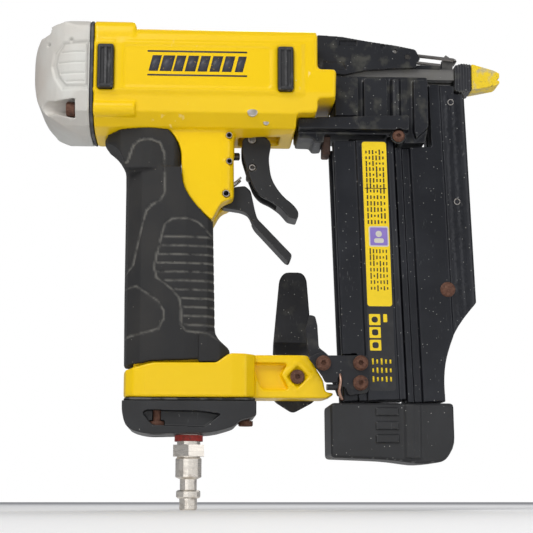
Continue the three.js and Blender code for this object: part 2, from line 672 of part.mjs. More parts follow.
function jamLever() {
  const half = JAM.half;
  const body = sideSlab(jamSide, -half, half);
  const skirts = [-1, 1].map((side) => {
    const low = side < 0 ? -half : half - 2.4;
    const skirt = [[25.4, 94, 1], [37, 92.8, 1], [48.1, 95.3], [59.8, 96.2], [72, 97, 1],
      [73, 101], [24.6, 104]];
    return sideSlab(skirt, low, low + 2.4);
  });
  const bailRoom = sideSlab([[58, 101], [80, 101], [80, 112],
    [58, 112]], -BAIL.half - 1.4, BAIL.half + 1.4);
  const roof = sideSlab([[57, 106], [60.4, 105.8], [60.4, 108.1], [57, 108.7]], -half + 0.8, half - 0.8);
  const under = block(40, 80, -5.9, 5.9, 90, 104.6);
  const tailRoom = block(20, 41, -6.6, 6.6, 90, 103.2);
  const pinHole = rod('y', JAM.x, 0, JAM.z, -12, 12, 1.25 + TURNING, 10);
  const bailHole = rod('y', BAIL.x, 0, BAIL.z, -12, 12, BAIL.wire + 0.2, 8);
  const web = block(56.2, 59, -half + 1, half - 1, 103.8, 107.6);
  const shell = join(cut(join(body, ...skirts), bailRoom, under, tailRoom), web, roof);
  return cut(shell, pinHole, bailHole);
}

// The bail is one bent wire: two inward feet in the lever, two arms, and a bar over the ears.
function bailWire() {
  const { x, z, reach, wire: radius, half } = BAIL;
  const foot = half + 3;
  const hookZ = 102.2;
  const points = [
    [x, -foot, z], [x, -half - 0.4, z], [x + 1.2, -half, z], [reach - 1.6, -half, hookZ],
    [reach, -half + 1.6, hookZ], [reach, 0, hookZ], [reach, half - 1.6, hookZ],
    [reach - 1.6, half, hookZ], [x + 1.2, half, z], [x, half + 0.4, z], [x, foot, z],
  ].map((point) => new THREE.Vector3(...point));
  return solid(wire(new THREE.CatmullRomCurve3(points, false, 'catmullrom', 0.15), radius, 40));
}

function noseCollar() {
  const side = [[91.3, 86, 1], [91.3, 99, 1], [95, 100.2, 1], [99.4, 99.6, 0.5],
    [99.4, 86.4, 0.5], [95, 85, 1]];
  const hole = rod('x', 0, 0, DRIVE_Z, 80, 120, 2, 10);
  return cut(sideSlab(side, -7, 7), hole);
}

function noMarTip() {
  const side = [
    [99.7, 87], [99.7, 100.2, 1], [110.8, 97, 1], [113.5, 95.6], [113.5, 93.4], [111.8, 92.5],
    [113.5, 91.6],
    [113.5, 90.6], [112.2, 89.6],
  ];
  const hole = rod('x', 0, 0, DRIVE_Z, 80, 120, 1.6, 10);
  return cut(sideSlab(side, -6, 6), hole);
}

// ---- Magazine, drawn upright and leaned with its group ---------------------------------------

// A place on the upright tool, in the leaned axes of the magazine.
function inMagazine(x, z) {
  const lean = THREE.MathUtils.degToRad(MAGAZINE.lean);
  const across = x - MAGAZINE.pivotX;
  return [
    MAGAZINE.pivotX + across * Math.cos(lean) + z * Math.sin(lean),
    z * Math.cos(lean) - across * Math.sin(lean),
  ];
}

function magazineBody() {
  const { half, slot, split } = MAGAZINE;
  const plan = [
    [33, -half + 1, 0.8], [43.8, -half + 1, 0.3], [44.2, -half, 0], [58.6, -half, 0],
    [59, -half + 0.8, 0],
    [split - GAP, -half + 1.4, 1], [split - GAP, half - 1.4, 1], [59, half - 0.8, 0], [58.6, half, 0],
    [44.2, half, 0], [43.8, half - 1, 0.3], [33, half - 1, 0.8],
  ];
  const body = planSlab(plan, MAGAZINE.bottom, MAGAZINE.top);
  const pinSlot = block(44, 70, -slot, slot, -80, 80);
  const springWay = rod('z', 49, 0, 0, -80, 58, 4.4, 12);
  const backSlot = block(20, 38, -7.5, 7.5, -80, 80);
  const hookRoom = block(20, 40, -20, -9.9, -80, -42);
  const holes = bracketScrews.slice(1).map(([, x, z]) => {
    const [across, up] = inMagazine(x, z);
    return screw('y', across, -14.6, up, 1, bracketScrewSize, 0.6);
  });
  return cut(body, pinSlot, springWay, backSlot, hookRoom, ...holes);
}

function magazineRail() {
  const { split, slot } = MAGAZINE;
  const plan = [
    [split, -10, 1], [66, -10, 0.5], [66.2, -8.6, 0], [70, -8.6, 0], [70.2, -10.6, 0.5], [86, -10.6, 0.5],
    [86.2, -9, 0], [98.7, -7.6, 2], [98.7, 7.6, 2], [86.2, 9, 0], [86, 10.6, 0.5], [70.2, 10.6, 0.5],
    [70, 8.6, 0], [66.2, 8.6, 0], [66, 10, 0.5], [split, 10, 1],
  ];
  const side = [
    [60, -80], [60, MAGAZINE.top - 3.6], [80.6, MAGAZINE.top - 3.6], [80.6, 87.4, 1],
    [93.4, 87.4, 1], [93.4, 83.2],
    [98.8, 83.2, 1], [98.8, -18.6, 1], [92, -26, 4], [86.2, -34, 6], [81.8, -46, 8],
    [80.5, -55, 6], [80.7, -80],
  ];
  const body = common(planSlab(plan, -65.4, 90), sideSlab(side, -20, 20));
  const pinSlot = block(50, 94.5, -slot, slot, -90, 90);
  return cut(body, pinSlot);
}

function pusher() {
  const { slot } = MAGAZINE;
  const blade = block(46.4, 93.6, -slot + 0.4, slot - 0.4, -20, -11);
  const guide = rod('z', 49, 0, 0, -20, -14, 3.9, 12);
  return join(blade, guide);
}

const endCapSide = [
  [28.5, -65.8, 2], [85.6, -65.8, 0.5], [85.9, -85.4, 4], [81.2, -92.6, 3], [70, -93.8, 4],
  [56, -91.8, 6],
  [28.7, -90.8, 1],
];

function endCap() {
  const shell = join(
    sideSlab(endCapSide, -16, 16, 1),
    ...[-1, 1].map((side) => rod('z', 66.5, side * 9.5, 0, -91, -66.4, 8, 16)),
  );
  const ribs = [-69.8, -76.2, -82.2].map((z) => block(49.6, 59.7, -16.6, 16.6, z - 1.6, z + 1.6));
  return join(shell, ...ribs);
}

// ---- Latch bracket ---------------------------------------------------------------------------

const bracketScrews = [['bracket_screw_a', 25.5, -47.5], ['bracket_screw_b', 42.8, -47.4],
  ['bracket_screw_c', 42.7, -56.6]];
const bracketScrewSize = { head: 3.5, rise: 2.2, shank: 1.5, length: 6 };

function latchBracket() {
  const side = [
    [18.5, -44.8, 1], [24.2, -42.2, 2], [26.5, -43.8, 2], [46.5, -43.8, 1], [46.5, -61.2, 2],
    [37.3, -62.4, 1],
    [35.9, -59], [32.3, -56.4, 1], [26.4, -56.4, 1], [25, -53.5],
  ];
  const plate = sideSlab(side, -14.4, -12.9);
  const slot = block(32.4, 34, -20, 0, -58, -54);
  const holes = bracketScrews.map(([, x, z]) => rod('y', x, 0, z, -20, 0, 1.5 + GAP, 10));
  return cut(plate, slot, ...holes);
}

function latchLever() {
  const side = [
    [19.1, -24.6, 1], [22.1, -25.3, 1], [23.1, -29.8], [23.7, -40, 1], [28.4, -43.6, 2], [30.4, -50, 3],
    [33.8, -55, 1], [34.6, -62.6, 1], [32.2, -62.6, 0.5], [30, -56, 2], [26.5, -51.4, 2], [22, -50, 2],
    [18.5, -42, 2], [17.5, -31.3], [18.6, -27.9],
  ];
  return cut(sideSlab(side, -12.6, -10.5), rod('y', LATCH.x, 0, LATCH.z, -20, 0, 1.5 + TURNING, 10));
}

// ---- Belt hook -------------------------------------------------------------------------------

function beltHook() {
  const { inner, outer, x, z } = HOOK;
  const face = [
    [10, 0.6, 2], [18.6, 0.6, 2], [20.8, -2.6, 2], [22.1, -19.3], [23.8, -63.4, 2], [13.1, -69.2, 2],
    [3.9, -63.4, 2], [3.9, -40], [7.4, -2.8, 2],
  ];
  const low = ARM.half + GAP;
  const profile = [
    [low, -70], [low + 2.4, -70], [low + 2.4, -44.5], [outer, -35], [outer, 2], [inner, 2],
    [inner, -34], [low, -43],
  ];
  const strap = common(sideSlab(face, 0, 30), endSlab(profile, 0, 30));
  return cut(strap, rod('y', x, 0, z, 0, 40, 2.4 + GAP, 12));
}

function hookScrew() {
  const { x, z } = HOOK;
  return join(
    rod('y', x, 0, z, -ARM.half - 0.6, ARM.half + 4.6, 2.35, 12),
    rod('y', x, 0, z, -ARM.half - 0.6, -ARM.half + 1.2, 3.3, 12),
    rod('y', x, 0, z, ARM.half + 3.1, ARM.half + 5.6, 4.6, 12),
  );
}

// ---- Putting it together ---------------------------------------------------------------------

place('housing', housing(), yellowPaint);
place('grip', grip(), gripRubber);
place('rear_cap', rearCap(), silverPaint);
place('cap_gasket', capGasket(), sealRubber);
capScrews.forEach(([y, z], i) => {
  place(`cap_screw_${i + 1}`, screw('x', -90.7, y, z, 1, { ...capScrewSize, length: 21 }), rustySteel);
});
for (const [name, left, right] of padPlaces) {
  place(`${name}_pad_left`, bumperPad(left, right, -1), sealRubber);
  place(`${name}_pad_right`, bumperPad(left, right, 1), sealRubber);
}

place('base_gasket', baseGasket(), sealRubber);
place('base_cap', baseCap(), blackPlastic);
baseScrews.forEach(([x, y, z], i) => {
  place(`base_screw_${i + 1}`, screw('z', x, y, z - GAP, 1, { ...baseScrewSize, length: 17 }),
    rustySteel);
});
place('air_plug', airPlug(), steel);
place('thread_seal', tube('z', PLUG.x, 0, 0, -83, -80.2, 5.7, 6.6), redSealant);

place('trigger', trigger(), blackPlastic);
place('trigger_pin', rod('y', TRIGGER.x, 0, TRIGGER.z, -7.4, 7.4, 1.7, 12), steel);
place('link_pin', rod('y', LINK.x, 0, LINK.z, -7.8, 7.8, 1.6, 12), steel);
place('trigger_link', triggerLink(), steel);
place('safety_lever', safetyLever(), blackPlastic);
place('lever_pin', rod('y', LEVER.x, 0, LEVER.z, -17.2, 17.2, 1.5, 12), steel);
place('lever_spring', coil('y', -19.8, 0, LEVER.z + 7.2, -3, 3, 1.9, 0.4, 5), springSteel);
place('valve_bushing', valveBushing(), aluminium);
place('valve_stem', valveStem(), steel);
place('valve_spring', coil('x', 0, 0, VALVE.z, -33.6, -24.4, 3, 0.4, 5), springSteel);
place('valve_pin_upper', rod('y', -18.5, 0, 59.9, -16.8, 16.8, 1.25, 8), steel);
place('valve_pin_lower', rod('y', -18.3, 0, 47.3, -16.8, 16.8, 1.25, 8), steel);

place('cylinder_sleeve', tube('x', 0, 0, DRIVE_Z, -83.6, 13.4, CYLINDER.inner, CYLINDER.outer, 32),
  aluminium);
place('piston', piston(), aluminium);
place('driver_blade', rod('x', 0, 0, DRIVE_Z, -70, 44, 1.2, 8), springSteel);
place('drive_bumper', tube('x', 0, 0, DRIVE_Z, 2, 13.2, 3.4, CYLINDER.inner - GAP, 24), sealRubber);
place('head_valve', headValve(), aluminium);
place('head_valve_spring', coil('x', 0, 0, DRIVE_Z, -103.6, -98.9, 12.8, 0.7, 3), springSteel);

place('nose_frame', noseFrame(), blackAluminium);
[-1, 1].forEach((side) => {
  const name = side < 0 ? 'nose_screw_left' : 'nose_screw_right';
  place(name, screw('y', 62.2, side * (NOSE.half + 0.4), 61.1, -side, { ...noseScrewSize,
    length: 8.6 }), rustySteel);
});
place('driver_guide', driverGuide(), blackAluminium);
place('nose_door', noseDoor(), blackAluminium);
place('door_pin', rod('y', DOOR.x, 0, DOOR.z, -5.9, 5.9, 0.8, 8), steel);
place('jam_lever', jamLever(), blackPlastic);
place('jam_lever_pin', rod('y', JAM.x, 0, JAM.z, -8.8, 8.8, 1.25, 10), steel);
place('bail_wire', bailWire(), springSteel);
place('nose_collar', noseCollar(), blackAluminium);
place('no_mar_tip', noMarTip(), yellowPaint);

place('magazine_body', magazineBody(), blackAluminium, magazineGroup);
place('magazine_rail', magazineRail(), blackAluminium, magazineGroup);
place('pusher', pusher(), steel, magazineGroup);
place('pusher_spring', coil('z', 49, 0, 0, -63.6, -20.3, 3.2, 0.45, 8), springSteel, magazineGroup);
place('end_cap', endCap(), blackPlastic);

place('latch_bracket', latchBracket(), steel);
place('latch_lever', latchLever(), steel);
bracketScrews.forEach(([name, x, z]) => {
  place(name, screw('y', x, -14.7, z, 1, bracketScrewSize), rustySteel);
});

place('belt_hook', beltHook(), blackPlastic);
place('hook_screw', hookScrew(), steel);

export default tool;
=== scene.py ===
# An air-driven pin nailer: a cast barrel and handle with a rubber grip, a cast rear cap, a plastic
# base cap with its air plug, a two-stage trigger, a nose that opens on a jam lever, and a magazine.
# Metres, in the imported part's own frame. +X is the way the pins go and -Y is the tool's left side.

import json
import math

import bmesh
import bpy
import numpy as np
from mathutils import Matrix, Vector


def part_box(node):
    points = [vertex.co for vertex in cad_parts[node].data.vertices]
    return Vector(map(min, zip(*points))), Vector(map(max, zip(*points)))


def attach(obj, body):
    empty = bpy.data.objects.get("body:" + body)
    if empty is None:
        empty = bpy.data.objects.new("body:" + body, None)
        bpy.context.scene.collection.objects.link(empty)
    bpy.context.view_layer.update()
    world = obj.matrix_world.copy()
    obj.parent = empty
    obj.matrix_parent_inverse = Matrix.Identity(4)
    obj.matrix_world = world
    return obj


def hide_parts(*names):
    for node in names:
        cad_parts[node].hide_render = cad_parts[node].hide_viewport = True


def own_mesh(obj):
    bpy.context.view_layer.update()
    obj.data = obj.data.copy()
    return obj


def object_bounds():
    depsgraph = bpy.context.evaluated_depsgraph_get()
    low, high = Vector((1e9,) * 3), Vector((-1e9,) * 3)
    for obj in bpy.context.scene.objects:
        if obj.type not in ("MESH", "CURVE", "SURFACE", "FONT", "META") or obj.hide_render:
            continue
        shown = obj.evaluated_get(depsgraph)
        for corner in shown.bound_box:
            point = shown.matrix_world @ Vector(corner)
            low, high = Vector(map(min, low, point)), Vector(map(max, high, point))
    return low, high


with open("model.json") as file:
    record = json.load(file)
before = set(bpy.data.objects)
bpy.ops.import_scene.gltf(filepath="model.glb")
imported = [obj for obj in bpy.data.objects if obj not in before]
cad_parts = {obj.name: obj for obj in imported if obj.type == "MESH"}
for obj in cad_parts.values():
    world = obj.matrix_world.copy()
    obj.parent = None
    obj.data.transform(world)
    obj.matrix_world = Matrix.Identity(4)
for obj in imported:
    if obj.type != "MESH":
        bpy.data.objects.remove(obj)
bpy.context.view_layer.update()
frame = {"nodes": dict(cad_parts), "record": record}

# ---- Housing ---------------------------------------------------------------------------------
# The barrel, the neck, the band below the grip and the arm towards the magazine are one casting
# in magnesium, sprayed with satin yellow enamel. It comes from the mould with soft corners, a
# raised plateau on each side of the barrel, and scuffs and chips where it has met a bench.

MM = 0.001
# The drawing's millimetres are tied to the frame by the trigger's pin.
TRIGGER_PIN = np.array([-7.3, 0.0, 60.3])
pin_low, pin_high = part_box("trigger_pin")
DRAWING_ORIGIN = np.array((pin_low + pin_high) / 2) - TRIGGER_PIN * MM


def placed(x, y, z):
    """A place on the drawing, in metres."""
    return Vector(DRAWING_ORIGIN + np.array([x, y, z]) * MM)


def shown(name, mesh):
    piece = bpy.data.objects.new(name, mesh)
    bpy.context.scene.collection.objects.link(piece)
    return piece


def built(name, work):
    """The piece whose mesh has been worked out."""
    mesh = bpy.data.meshes.new(name)
    work.to_mesh(mesh)
    work.free()
    return shown(name, mesh)


def settled(piece):
    """Turns what the modifiers make into the piece's own smooth-shaded mesh."""
    bpy.context.view_layer.update()
    depsgraph = bpy.context.evaluated_depsgraph_get()
    mesh = bpy.data.meshes.new_from_object(piece.evaluated_get(depsgraph))
    piece.modifiers.clear()
    piece.data = mesh
    mesh.shade_smooth()
    return piece


def moulded(name, nodes, grain, relax, most=150000):
    """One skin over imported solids, with the soft corners of a casting or a moulding."""
    work = bmesh.new()
    for node in nodes:
        work.from_mesh(frame["nodes"][node].data)
    bmesh.ops.remove_doubles(work, verts=work.verts, dist=1e-6)
    piece = built(name, work)
    skin = piece.modifiers.new("skin", "REMESH")
    skin.mode = "VOXEL"
    skin.voxel_size = grain * MM
    soften = piece.modifiers.new("soften", "SMOOTH")
    soften.factor = 0.5
    soften.iterations = relax
    settled(piece)
    triangles = 2 * len(piece.data.polygons)
    if triangles > most:
        thin = piece.modifiers.new("thin", "DECIMATE")
        thin.ratio = most / triangles
        settled(piece)
    return piece


def drawn(piece):
    """The piece's points in drawing millimetres, and the way each one faces."""
    mesh = piece.data
    points = np.empty(3 * len(mesh.vertices))
    facing = np.empty(3 * len(mesh.vertices))
    mesh.vertices.foreach_get("co", points)
    mesh.vertex_normals.foreach_get("vector", facing)
    return (points.reshape(-1, 3) - DRAWING_ORIGIN) / MM, facing.reshape(-1, 3)


def moved(piece, points):
    piece.data.vertices.foreach_set("co", (points * MM + DRAWING_ORIGIN).ravel())
    piece.data.update()


def pressed(piece, depth):
    """Raises or sinks the surface along the way it faces, by depth(points, facing) millimetres."""
    points, facing = drawn(piece)
    moved(piece, points + facing * depth(points, facing)[:, None])


def ramp(value, start, end):
    share = np.clip((value - start) / (end - start), 0, 1)
    return share * share * (3 - 2 * share)


def inside(x, z, outline):
    """How far each point is inside a closed outline, and less than nothing outside it."""
    corners = np.array(outline, float)
    after = np.roll(corners, -1, axis=0)
    nearest = np.full(len(x), 1e9)
    within = np.zeros(len(x), bool)
    for (ax, az), (bx, bz) in zip(corners, after):
        run, rise = bx - ax, bz - az
        along = np.clip(((x - ax) * run + (z - az) * rise) / (run ** 2 + rise ** 2), 0, 1)
        nearest = np.minimum(nearest, np.hypot(x - ax - along * (bx - ax), z - az - along * (bz - az)))
        crosses = (az > z) != (bz > z)
        within ^= crosses & (x < (bx - ax) * (z - az) / ((bz - az) or 1e-9) + ax)
    return np.where(within, nearest, -nearest)


class Finish:
    """A surface built up in layers from Object coordinates: colour, roughness, then relief."""

    def __init__(self, name, colour, roughness, metallic=0.0):
        self.material = bpy.data.materials.new(name)
        self.material.use_nodes = True
        self.tree = self.material.node_tree
        self.shader = self.tree.nodes["Principled BSDF"]
        self.shader.inputs["Base Color"].default_value = (*colour, 1)
        self.shader.inputs["Roughness"].default_value = roughness
        self.shader.inputs["Metallic"].default_value = metallic
        self.places = self.tree.nodes.new("ShaderNodeTexCoord").outputs["Object"]
        self.colour = colour
        self.roughness = roughness
        self.relief = None

    def node(self, kind, **settings):
        node = self.tree.nodes.new(kind)
        for key, value in settings.items():
            if key in node.inputs:
                node.inputs[key].default_value = value
            else:
                setattr(node, key, value)
        return node

    def stretched(self, stretch, turn=(0, 0, 0)):
        if stretch == (1, 1, 1) and turn == (0, 0, 0):
            return self.places
        mapping = self.node("ShaderNodeMapping", Scale=stretch, Rotation=turn)
        self.tree.links.new(self.places, mapping.inputs["Vector"])
        return mapping.outputs["Vector"]

    def noise(self, size, detail=3.0, stretch=(1, 1, 1), turn=(0, 0, 0)):
        """Cloudy noise, with patches about `size` millimetres across."""
        noise = self.node("ShaderNodeTexNoise", Scale=1 / (size * MM), Detail=detail)
        self.tree.links.new(self.stretched(stretch, turn), noise.inputs["Vector"])
        return noise.outputs["Fac"]

    def specks(self, spacing, radius, share):
        """Round specks: 1 on a speck, with a share of the cells left empty."""
        cells = self.node("ShaderNodeTexVoronoi", Scale=1 / (spacing * MM))
        self.tree.links.new(self.places, cells.inputs["Vector"])
        near = self.between(cells.outputs["Distance"], radius / spacing, 0.4 * radius / spacing)
        parts = self.node("ShaderNodeSeparateColor")
        self.tree.links.new(cells.outputs["Color"], parts.inputs["Color"])
        chosen = self.between(parts.outputs["Red"], share, share - 0.02)
        return self.times(near, chosen)

    def edges(self, low, high):
        """1 on sharp outer corners, from how the mesh bends; with low above high, 1 in creases instead."""
        bend = self.node("ShaderNodeNewGeometry")
        return self.between(bend.outputs["Pointiness"], low, high)

    def marked(self, name):
        return self.node("ShaderNodeAttribute", attribute_name=name).outputs["Fac"]

    def between(self, value, low, high):
        step = self.node("ShaderNodeMapRange")
        step.inputs["From Min"].default_value = low
        step.inputs["From Max"].default_value = high
        self.tree.links.new(value, step.inputs["Value"])
        return step.outputs["Result"]

    def times(self, first, second):
        product = self.node("ShaderNodeMath", operation="MULTIPLY")
        for socket, value in zip(product.inputs, (first, second)):
            if isinstance(value, (int, float)):
                socket.default_value = value
            else:
                self.tree.links.new(value, socket)
        return product.outputs[0]

    def tint(self, mask, colour, amount=1.0):
        """Lays another colour over the surface where the mask is."""
        mix = self.node("ShaderNodeMix", data_type="RGBA")
        self.tree.links.new(self.times(mask, amount), mix.inputs["Factor"])
        if isinstance(self.colour, tuple):
            mix.inputs[6].default_value = (*self.colour, 1)
        else:
            self.tree.links.new(self.colour, mix.inputs[6])
        mix.inputs[7].default_value = (*colour, 1)
        self.colour = mix.outputs[2]
        return self

    def sheen(self, mask, roughness):
        """Gives the surface another roughness where the mask is."""
        mix = self.node("ShaderNodeMix", data_type="FLOAT")
        self.tree.links.new(mask, mix.inputs["Factor"])
        if isinstance(self.roughness, float):
            mix.inputs[2].default_value = self.roughness
        else:
            self.tree.links.new(self.roughness, mix.inputs[2])
        mix.inputs[3].default_value = roughness
        self.roughness = mix.outputs[0]
        return self

    def raised(self, height, by, strength=1.0):
        """Small relief, `by` millimetres high."""
        bump = self.node("ShaderNodeBump", Strength=strength, Distance=by * MM)
        self.tree.links.new(height, bump.inputs["Height"])
        if self.relief is not None:
            self.tree.links.new(self.relief, bump.inputs["Normal"])
        self.relief = bump.outputs["Normal"]
        return self

    def done(self):
        if not isinstance(self.colour, tuple):
            self.tree.links.new(self.colour, self.shader.inputs["Base Color"])
        if not isinstance(self.roughness, float):
            self.tree.links.new(self.roughness, self.shader.inputs["Roughness"])
        if self.relief is not None:
            self.tree.links.new(self.relief, self.shader.inputs["Normal"])
        return self.material


def dressed(piece, material, slot, body, *nodes):
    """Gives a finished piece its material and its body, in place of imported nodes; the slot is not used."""
    piece.data.materials.clear()
    piece.data.materials.append(material)
    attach(piece, body)
    if nodes:
        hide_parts(*nodes)
    return piece


def enamel():
    paint = Finish("yellow_enamel", (0.91, 0.60, 0.002), 0.33)
    paint.tint(paint.between(paint.noise(60), 0.35, 0.7), (0.88, 0.56, 0.002), 0.7)
    paint.tint(paint.between(paint.noise(7, 5), 0.62, 0.72), (0.93, 0.64, 0.01), 0.35)
    scuffs = paint.times(
        paint.between(paint.noise(3.2, 8, (1, 1, 0.45), (0, 0.7, 0)), 0.62, 0.68),
        paint.between(paint.noise(26, 1), 0.60, 0.68),
    )
    paint.tint(scuffs, (0.95, 0.72, 0.25), 0.7)
    chips = paint.specks(9, 0.35, 0.4)
    paint.tint(chips, (0.85, 0.72, 0.45), 0.8)
    # Painted shade: the enamel turns a deeper, darker orange in creases, where the mesh bends inward.
    paint.tint(paint.edges(0.46, 0.40), (0.62, 0.38, 0.0), 0.4)
    paint.sheen(scuffs, 0.6)
    paint.raised(paint.noise(0.9, 2), 0.03, 0.35)
    paint.shader.inputs["Specular IOR Level"].default_value = 0.3
    return paint.done()


def housing_relief(points, facing):
    """The plateau, the recess between its bumpers, and the diamond on the arm."""
    x, y, z = points.T
    side = np.abs(facing[:, 1]) > 0.55
    barrel = side & (np.abs(y) > 24)
    plateau = np.minimum(ramp(z, 75.6, 79.0), ramp(z, 102.9, 101.5))
    plateau = np.minimum(plateau, ramp(x, 16.6, 15.0))
    relief = barrel * 0.8 * plateau
    arm = side & (np.abs(y) > 8) & (x > -14) & (z < -42)
    from_screw = np.abs(x - 14.1) + np.abs(z + 53.1)
    diamond = ramp(from_screw, 8.2, 7.6) * ramp(from_screw, 5.6, 6.2)
    return relief + arm * 0.35 * diamond


yellow_enamel = enamel()
housing = moulded("cast_housing", ["housing"], 0.62, 3, 190000)
pressed(housing, housing_relief)
dressed(housing, yellow_enamel, "yellow_paint", "housing", "housing")

# ---- Printed marks -----------------------------------------------------------------------------
# A print in dark ink on each side of the barrel: two thin rules with a row of slanted bars between
# them, in place of any lettering. The ink lies a few hundredths of a millimetre proud.


def ink():
    print_ink = Finish("print_ink", (0.035, 0.036, 0.05), 0.5)
    print_ink.tint(print_ink.between(print_ink.noise(1.6, 6, (1, 1, 1.6)), 0.66, 0.69), (0.5, 0.3, 0.02), 0.6)
    print_ink.raised(print_ink.noise(0.5, 2), 0.02, 0.3)
    return print_ink.done()


def new_tree(name, inputs):
    """An empty node tree with named inputs, its group input and its group output."""
    tree = bpy.data.node_groups.new(name, "GeometryNodeTree")
    tree.interface.new_socket("Geometry", in_out="OUTPUT", socket_type="NodeSocketGeometry")
    tree.interface.new_socket("Geometry", in_out="INPUT", socket_type="NodeSocketGeometry")
    for label, value in inputs.items():
        kind = {int: "NodeSocketInt", float: "NodeSocketFloat"}.get(type(value), "NodeSocketMaterial")
        socket = tree.interface.new_socket(label, in_out="INPUT", socket_type=kind)
        if value is not None:
            socket.default_value = value
    given = tree.nodes.new("NodeGroupInput").outputs
    return tree, given, tree.nodes.new("NodeGroupOutput").inputs[0]


def wired(tree, kind, inputs=(), **settings):
    """A new node in the tree; an input is a socket to link or a value to set."""
    node = tree.nodes.new(kind)
    for key, value in settings.items():
        setattr(node, key, value)
    for key, value in dict(inputs).items():
        if isinstance(value, bpy.types.NodeSocket):
            tree.links.new(value, node.inputs[key])
        else:
            node.inputs[key].default_value = value
    return node


def coated(tree, shapes, given, out):
    """Ends a tree: its instances become one plain mesh, in the finish that was given."""
    solid = wired(tree, "GeometryNodeRealizeInstances", {0: shapes.outputs[0]})
    finished = wired(tree, "GeometryNodeSetMaterial", {0: solid.outputs[0], "Material": given["Finish"]})
    tree.links.new(finished.outputs[0], out)
    return tree


def grown(tree, name, values, start=None):
    """The plain mesh that a tree makes from its inputs, on a start mesh if it needs one."""
    piece = shown(name, start or bpy.data.meshes.new(name))
    build = piece.modifiers.new("build", "NODES")
    build.node_group = tree
    for item in tree.interface.items_tree:
        if item.in_out == "INPUT" and item.name in values:
            build[item.identifier] = values[item.name]
    settled(piece)
    return piece


def bar_row_tree():
    """Flat slanted bars in a row along X, standing on edge to face Y, of uneven widths."""
    tree, given, out = new_tree("bar_row", {
        "Count": 8, "Pitch": 0.005, "Width": 0.003, "Height": 0.008, "Uneven": 0.3, "Seed": 4, "Finish": None,
    })
    row = wired(tree, "GeometryNodeMeshLine", {"Count": given["Count"]})
    step = wired(tree, "ShaderNodeCombineXYZ", {"X": given["Pitch"]})
    tree.links.new(step.outputs[0], row.inputs["Offset"])
    bar = wired(tree, "GeometryNodeMeshGrid", {
        "Size X": given["Width"], "Size Y": given["Height"], "Vertices X": 3, "Vertices Y": 3,
    })
    least = wired(tree, "ShaderNodeMath", {0: 1.0, 1: given["Uneven"]}, operation="SUBTRACT")
    most = wired(tree, "ShaderNodeMath", {0: 1.0, 1: given["Uneven"]}, operation="ADD")
    width = wired(tree, "FunctionNodeRandomValue", {
        2: least.outputs[0], 3: most.outputs[0], "Seed": given["Seed"],
    })
    scale = wired(tree, "ShaderNodeCombineXYZ", {"X": width.outputs[1], "Y": 1.0, "Z": 1.0})
    bars = wired(tree, "GeometryNodeInstanceOnPoints", {
        "Points": row.outputs[0], "Instance": bar.outputs["Mesh"],
        "Rotation": (math.pi / 2, 0, 0), "Scale": scale.outputs[0],
    })
    return coated(tree, bars, given, out)


def merged(name, pieces):
    """One piece from several, with their meshes joined."""
    work = bmesh.new()
    for piece in pieces:
        work.from_mesh(piece.data)
        bpy.data.objects.remove(piece)
    return built(name, work)


def printed(name, tree, rows, face_y, slant, seeds):
    """Rows of bars printed on a face: each row is (left, middle height, count, pitch, width, height)."""
    parts = []
    for row, (left, z, count, pitch, width, height) in enumerate(rows):
        part = grown(tree, f"{name}_{row}", {
            "Count": count, "Pitch": pitch * MM, "Width": width * MM, "Height": height * MM,
            "Seed": seeds + row, "Uneven": 0.0 if count == 1 else 0.3,
        })
        for vertex in part.data.vertices:
            x, _, up = vertex.co
            vertex.co = placed(left + width / 2, face_y, z) + Vector((x + slant * up * (count > 1), 0, up))
        parts.append(part)
    return merged(name, parts)


BARREL_FACE, PLATEAU_RISE = 26.6, 0.8
bar_row = bar_row_tree()
recess_face = BARREL_FACE + PLATEAU_RISE
print_ink = ink()
mark_rows = [
    (-57, 97.0, 1, 1, 46.5, 0.8), (-57, 85.5, 1, 1, 46.5, 0.8), (-55.5, 91.2, 8, 5.7, 4.2, 7.6),
]
for side, sign in (("left", -1), ("right", 1)):
    marks = printed(f"printed_marks_{side}", bar_row, mark_rows, sign * (recess_face + 0.06), 0.25, 3)
    thick = marks.modifiers.new("ink", "SOLIDIFY")
    thick.thickness = 0.05 * MM
    settled(marks)
    dressed(marks, print_ink, "seal_rubber", "housing")

# ---- Rubber grip ----------------------------------------------------------------------------
# Soft black rubber moulded over the neck and the handle's tube. Shallow grooves outline two
# panels behind the palm and a ribbed field in front, and pale dust stays in the grooves.

BACK_UPPER = [
    (-75, 45), (-66, 46), (-63.3, 54.3), (-60.6, 56.3), (-55.8, 57), (-51, 55.6), (-48.9, 50.5),
    (-48.5, 31.1), (-50.5, 27.6), (-54.3, 25.8), (-57, 22.8), (-58.2, 18.4), (-61.5, 4.3),
    (-62.9, -2.2), (-66, -5.4), (-75, -6),
]
BACK_LOWER = [
    (-75, -12), (-65.5, -12.8), (-61.4, -12.2), (-56.3, -15.7), (-51.2, -19.4), (-48.2, -24.1),
    (-48.2, -27.5),
    (-50.6, -32.3), (-57.2, -34.1), (-64, -35.4), (-75, -38),
]
FRONT_FIELD = [
    (-16, 8), (-26.5, 11.7), (-32.4, 17.4), (-36.5, 19.3), (-44.7, 19.1), (-48.2, 16.8), (-51.1, 5),
    (-53, -3.7), (-51.6, -8.8), (-44.7, -14), (-41.2, -18.2), (-40.3, -23.2), (-40.3, -30.5), (-37.8, -33.4),
    (-29, -34.1), (-24.5, -36.5), (-16, -40),
]
RIB_TOP, RIB_PITCH, RIB_COUNT = 10.6, 4.11, 11


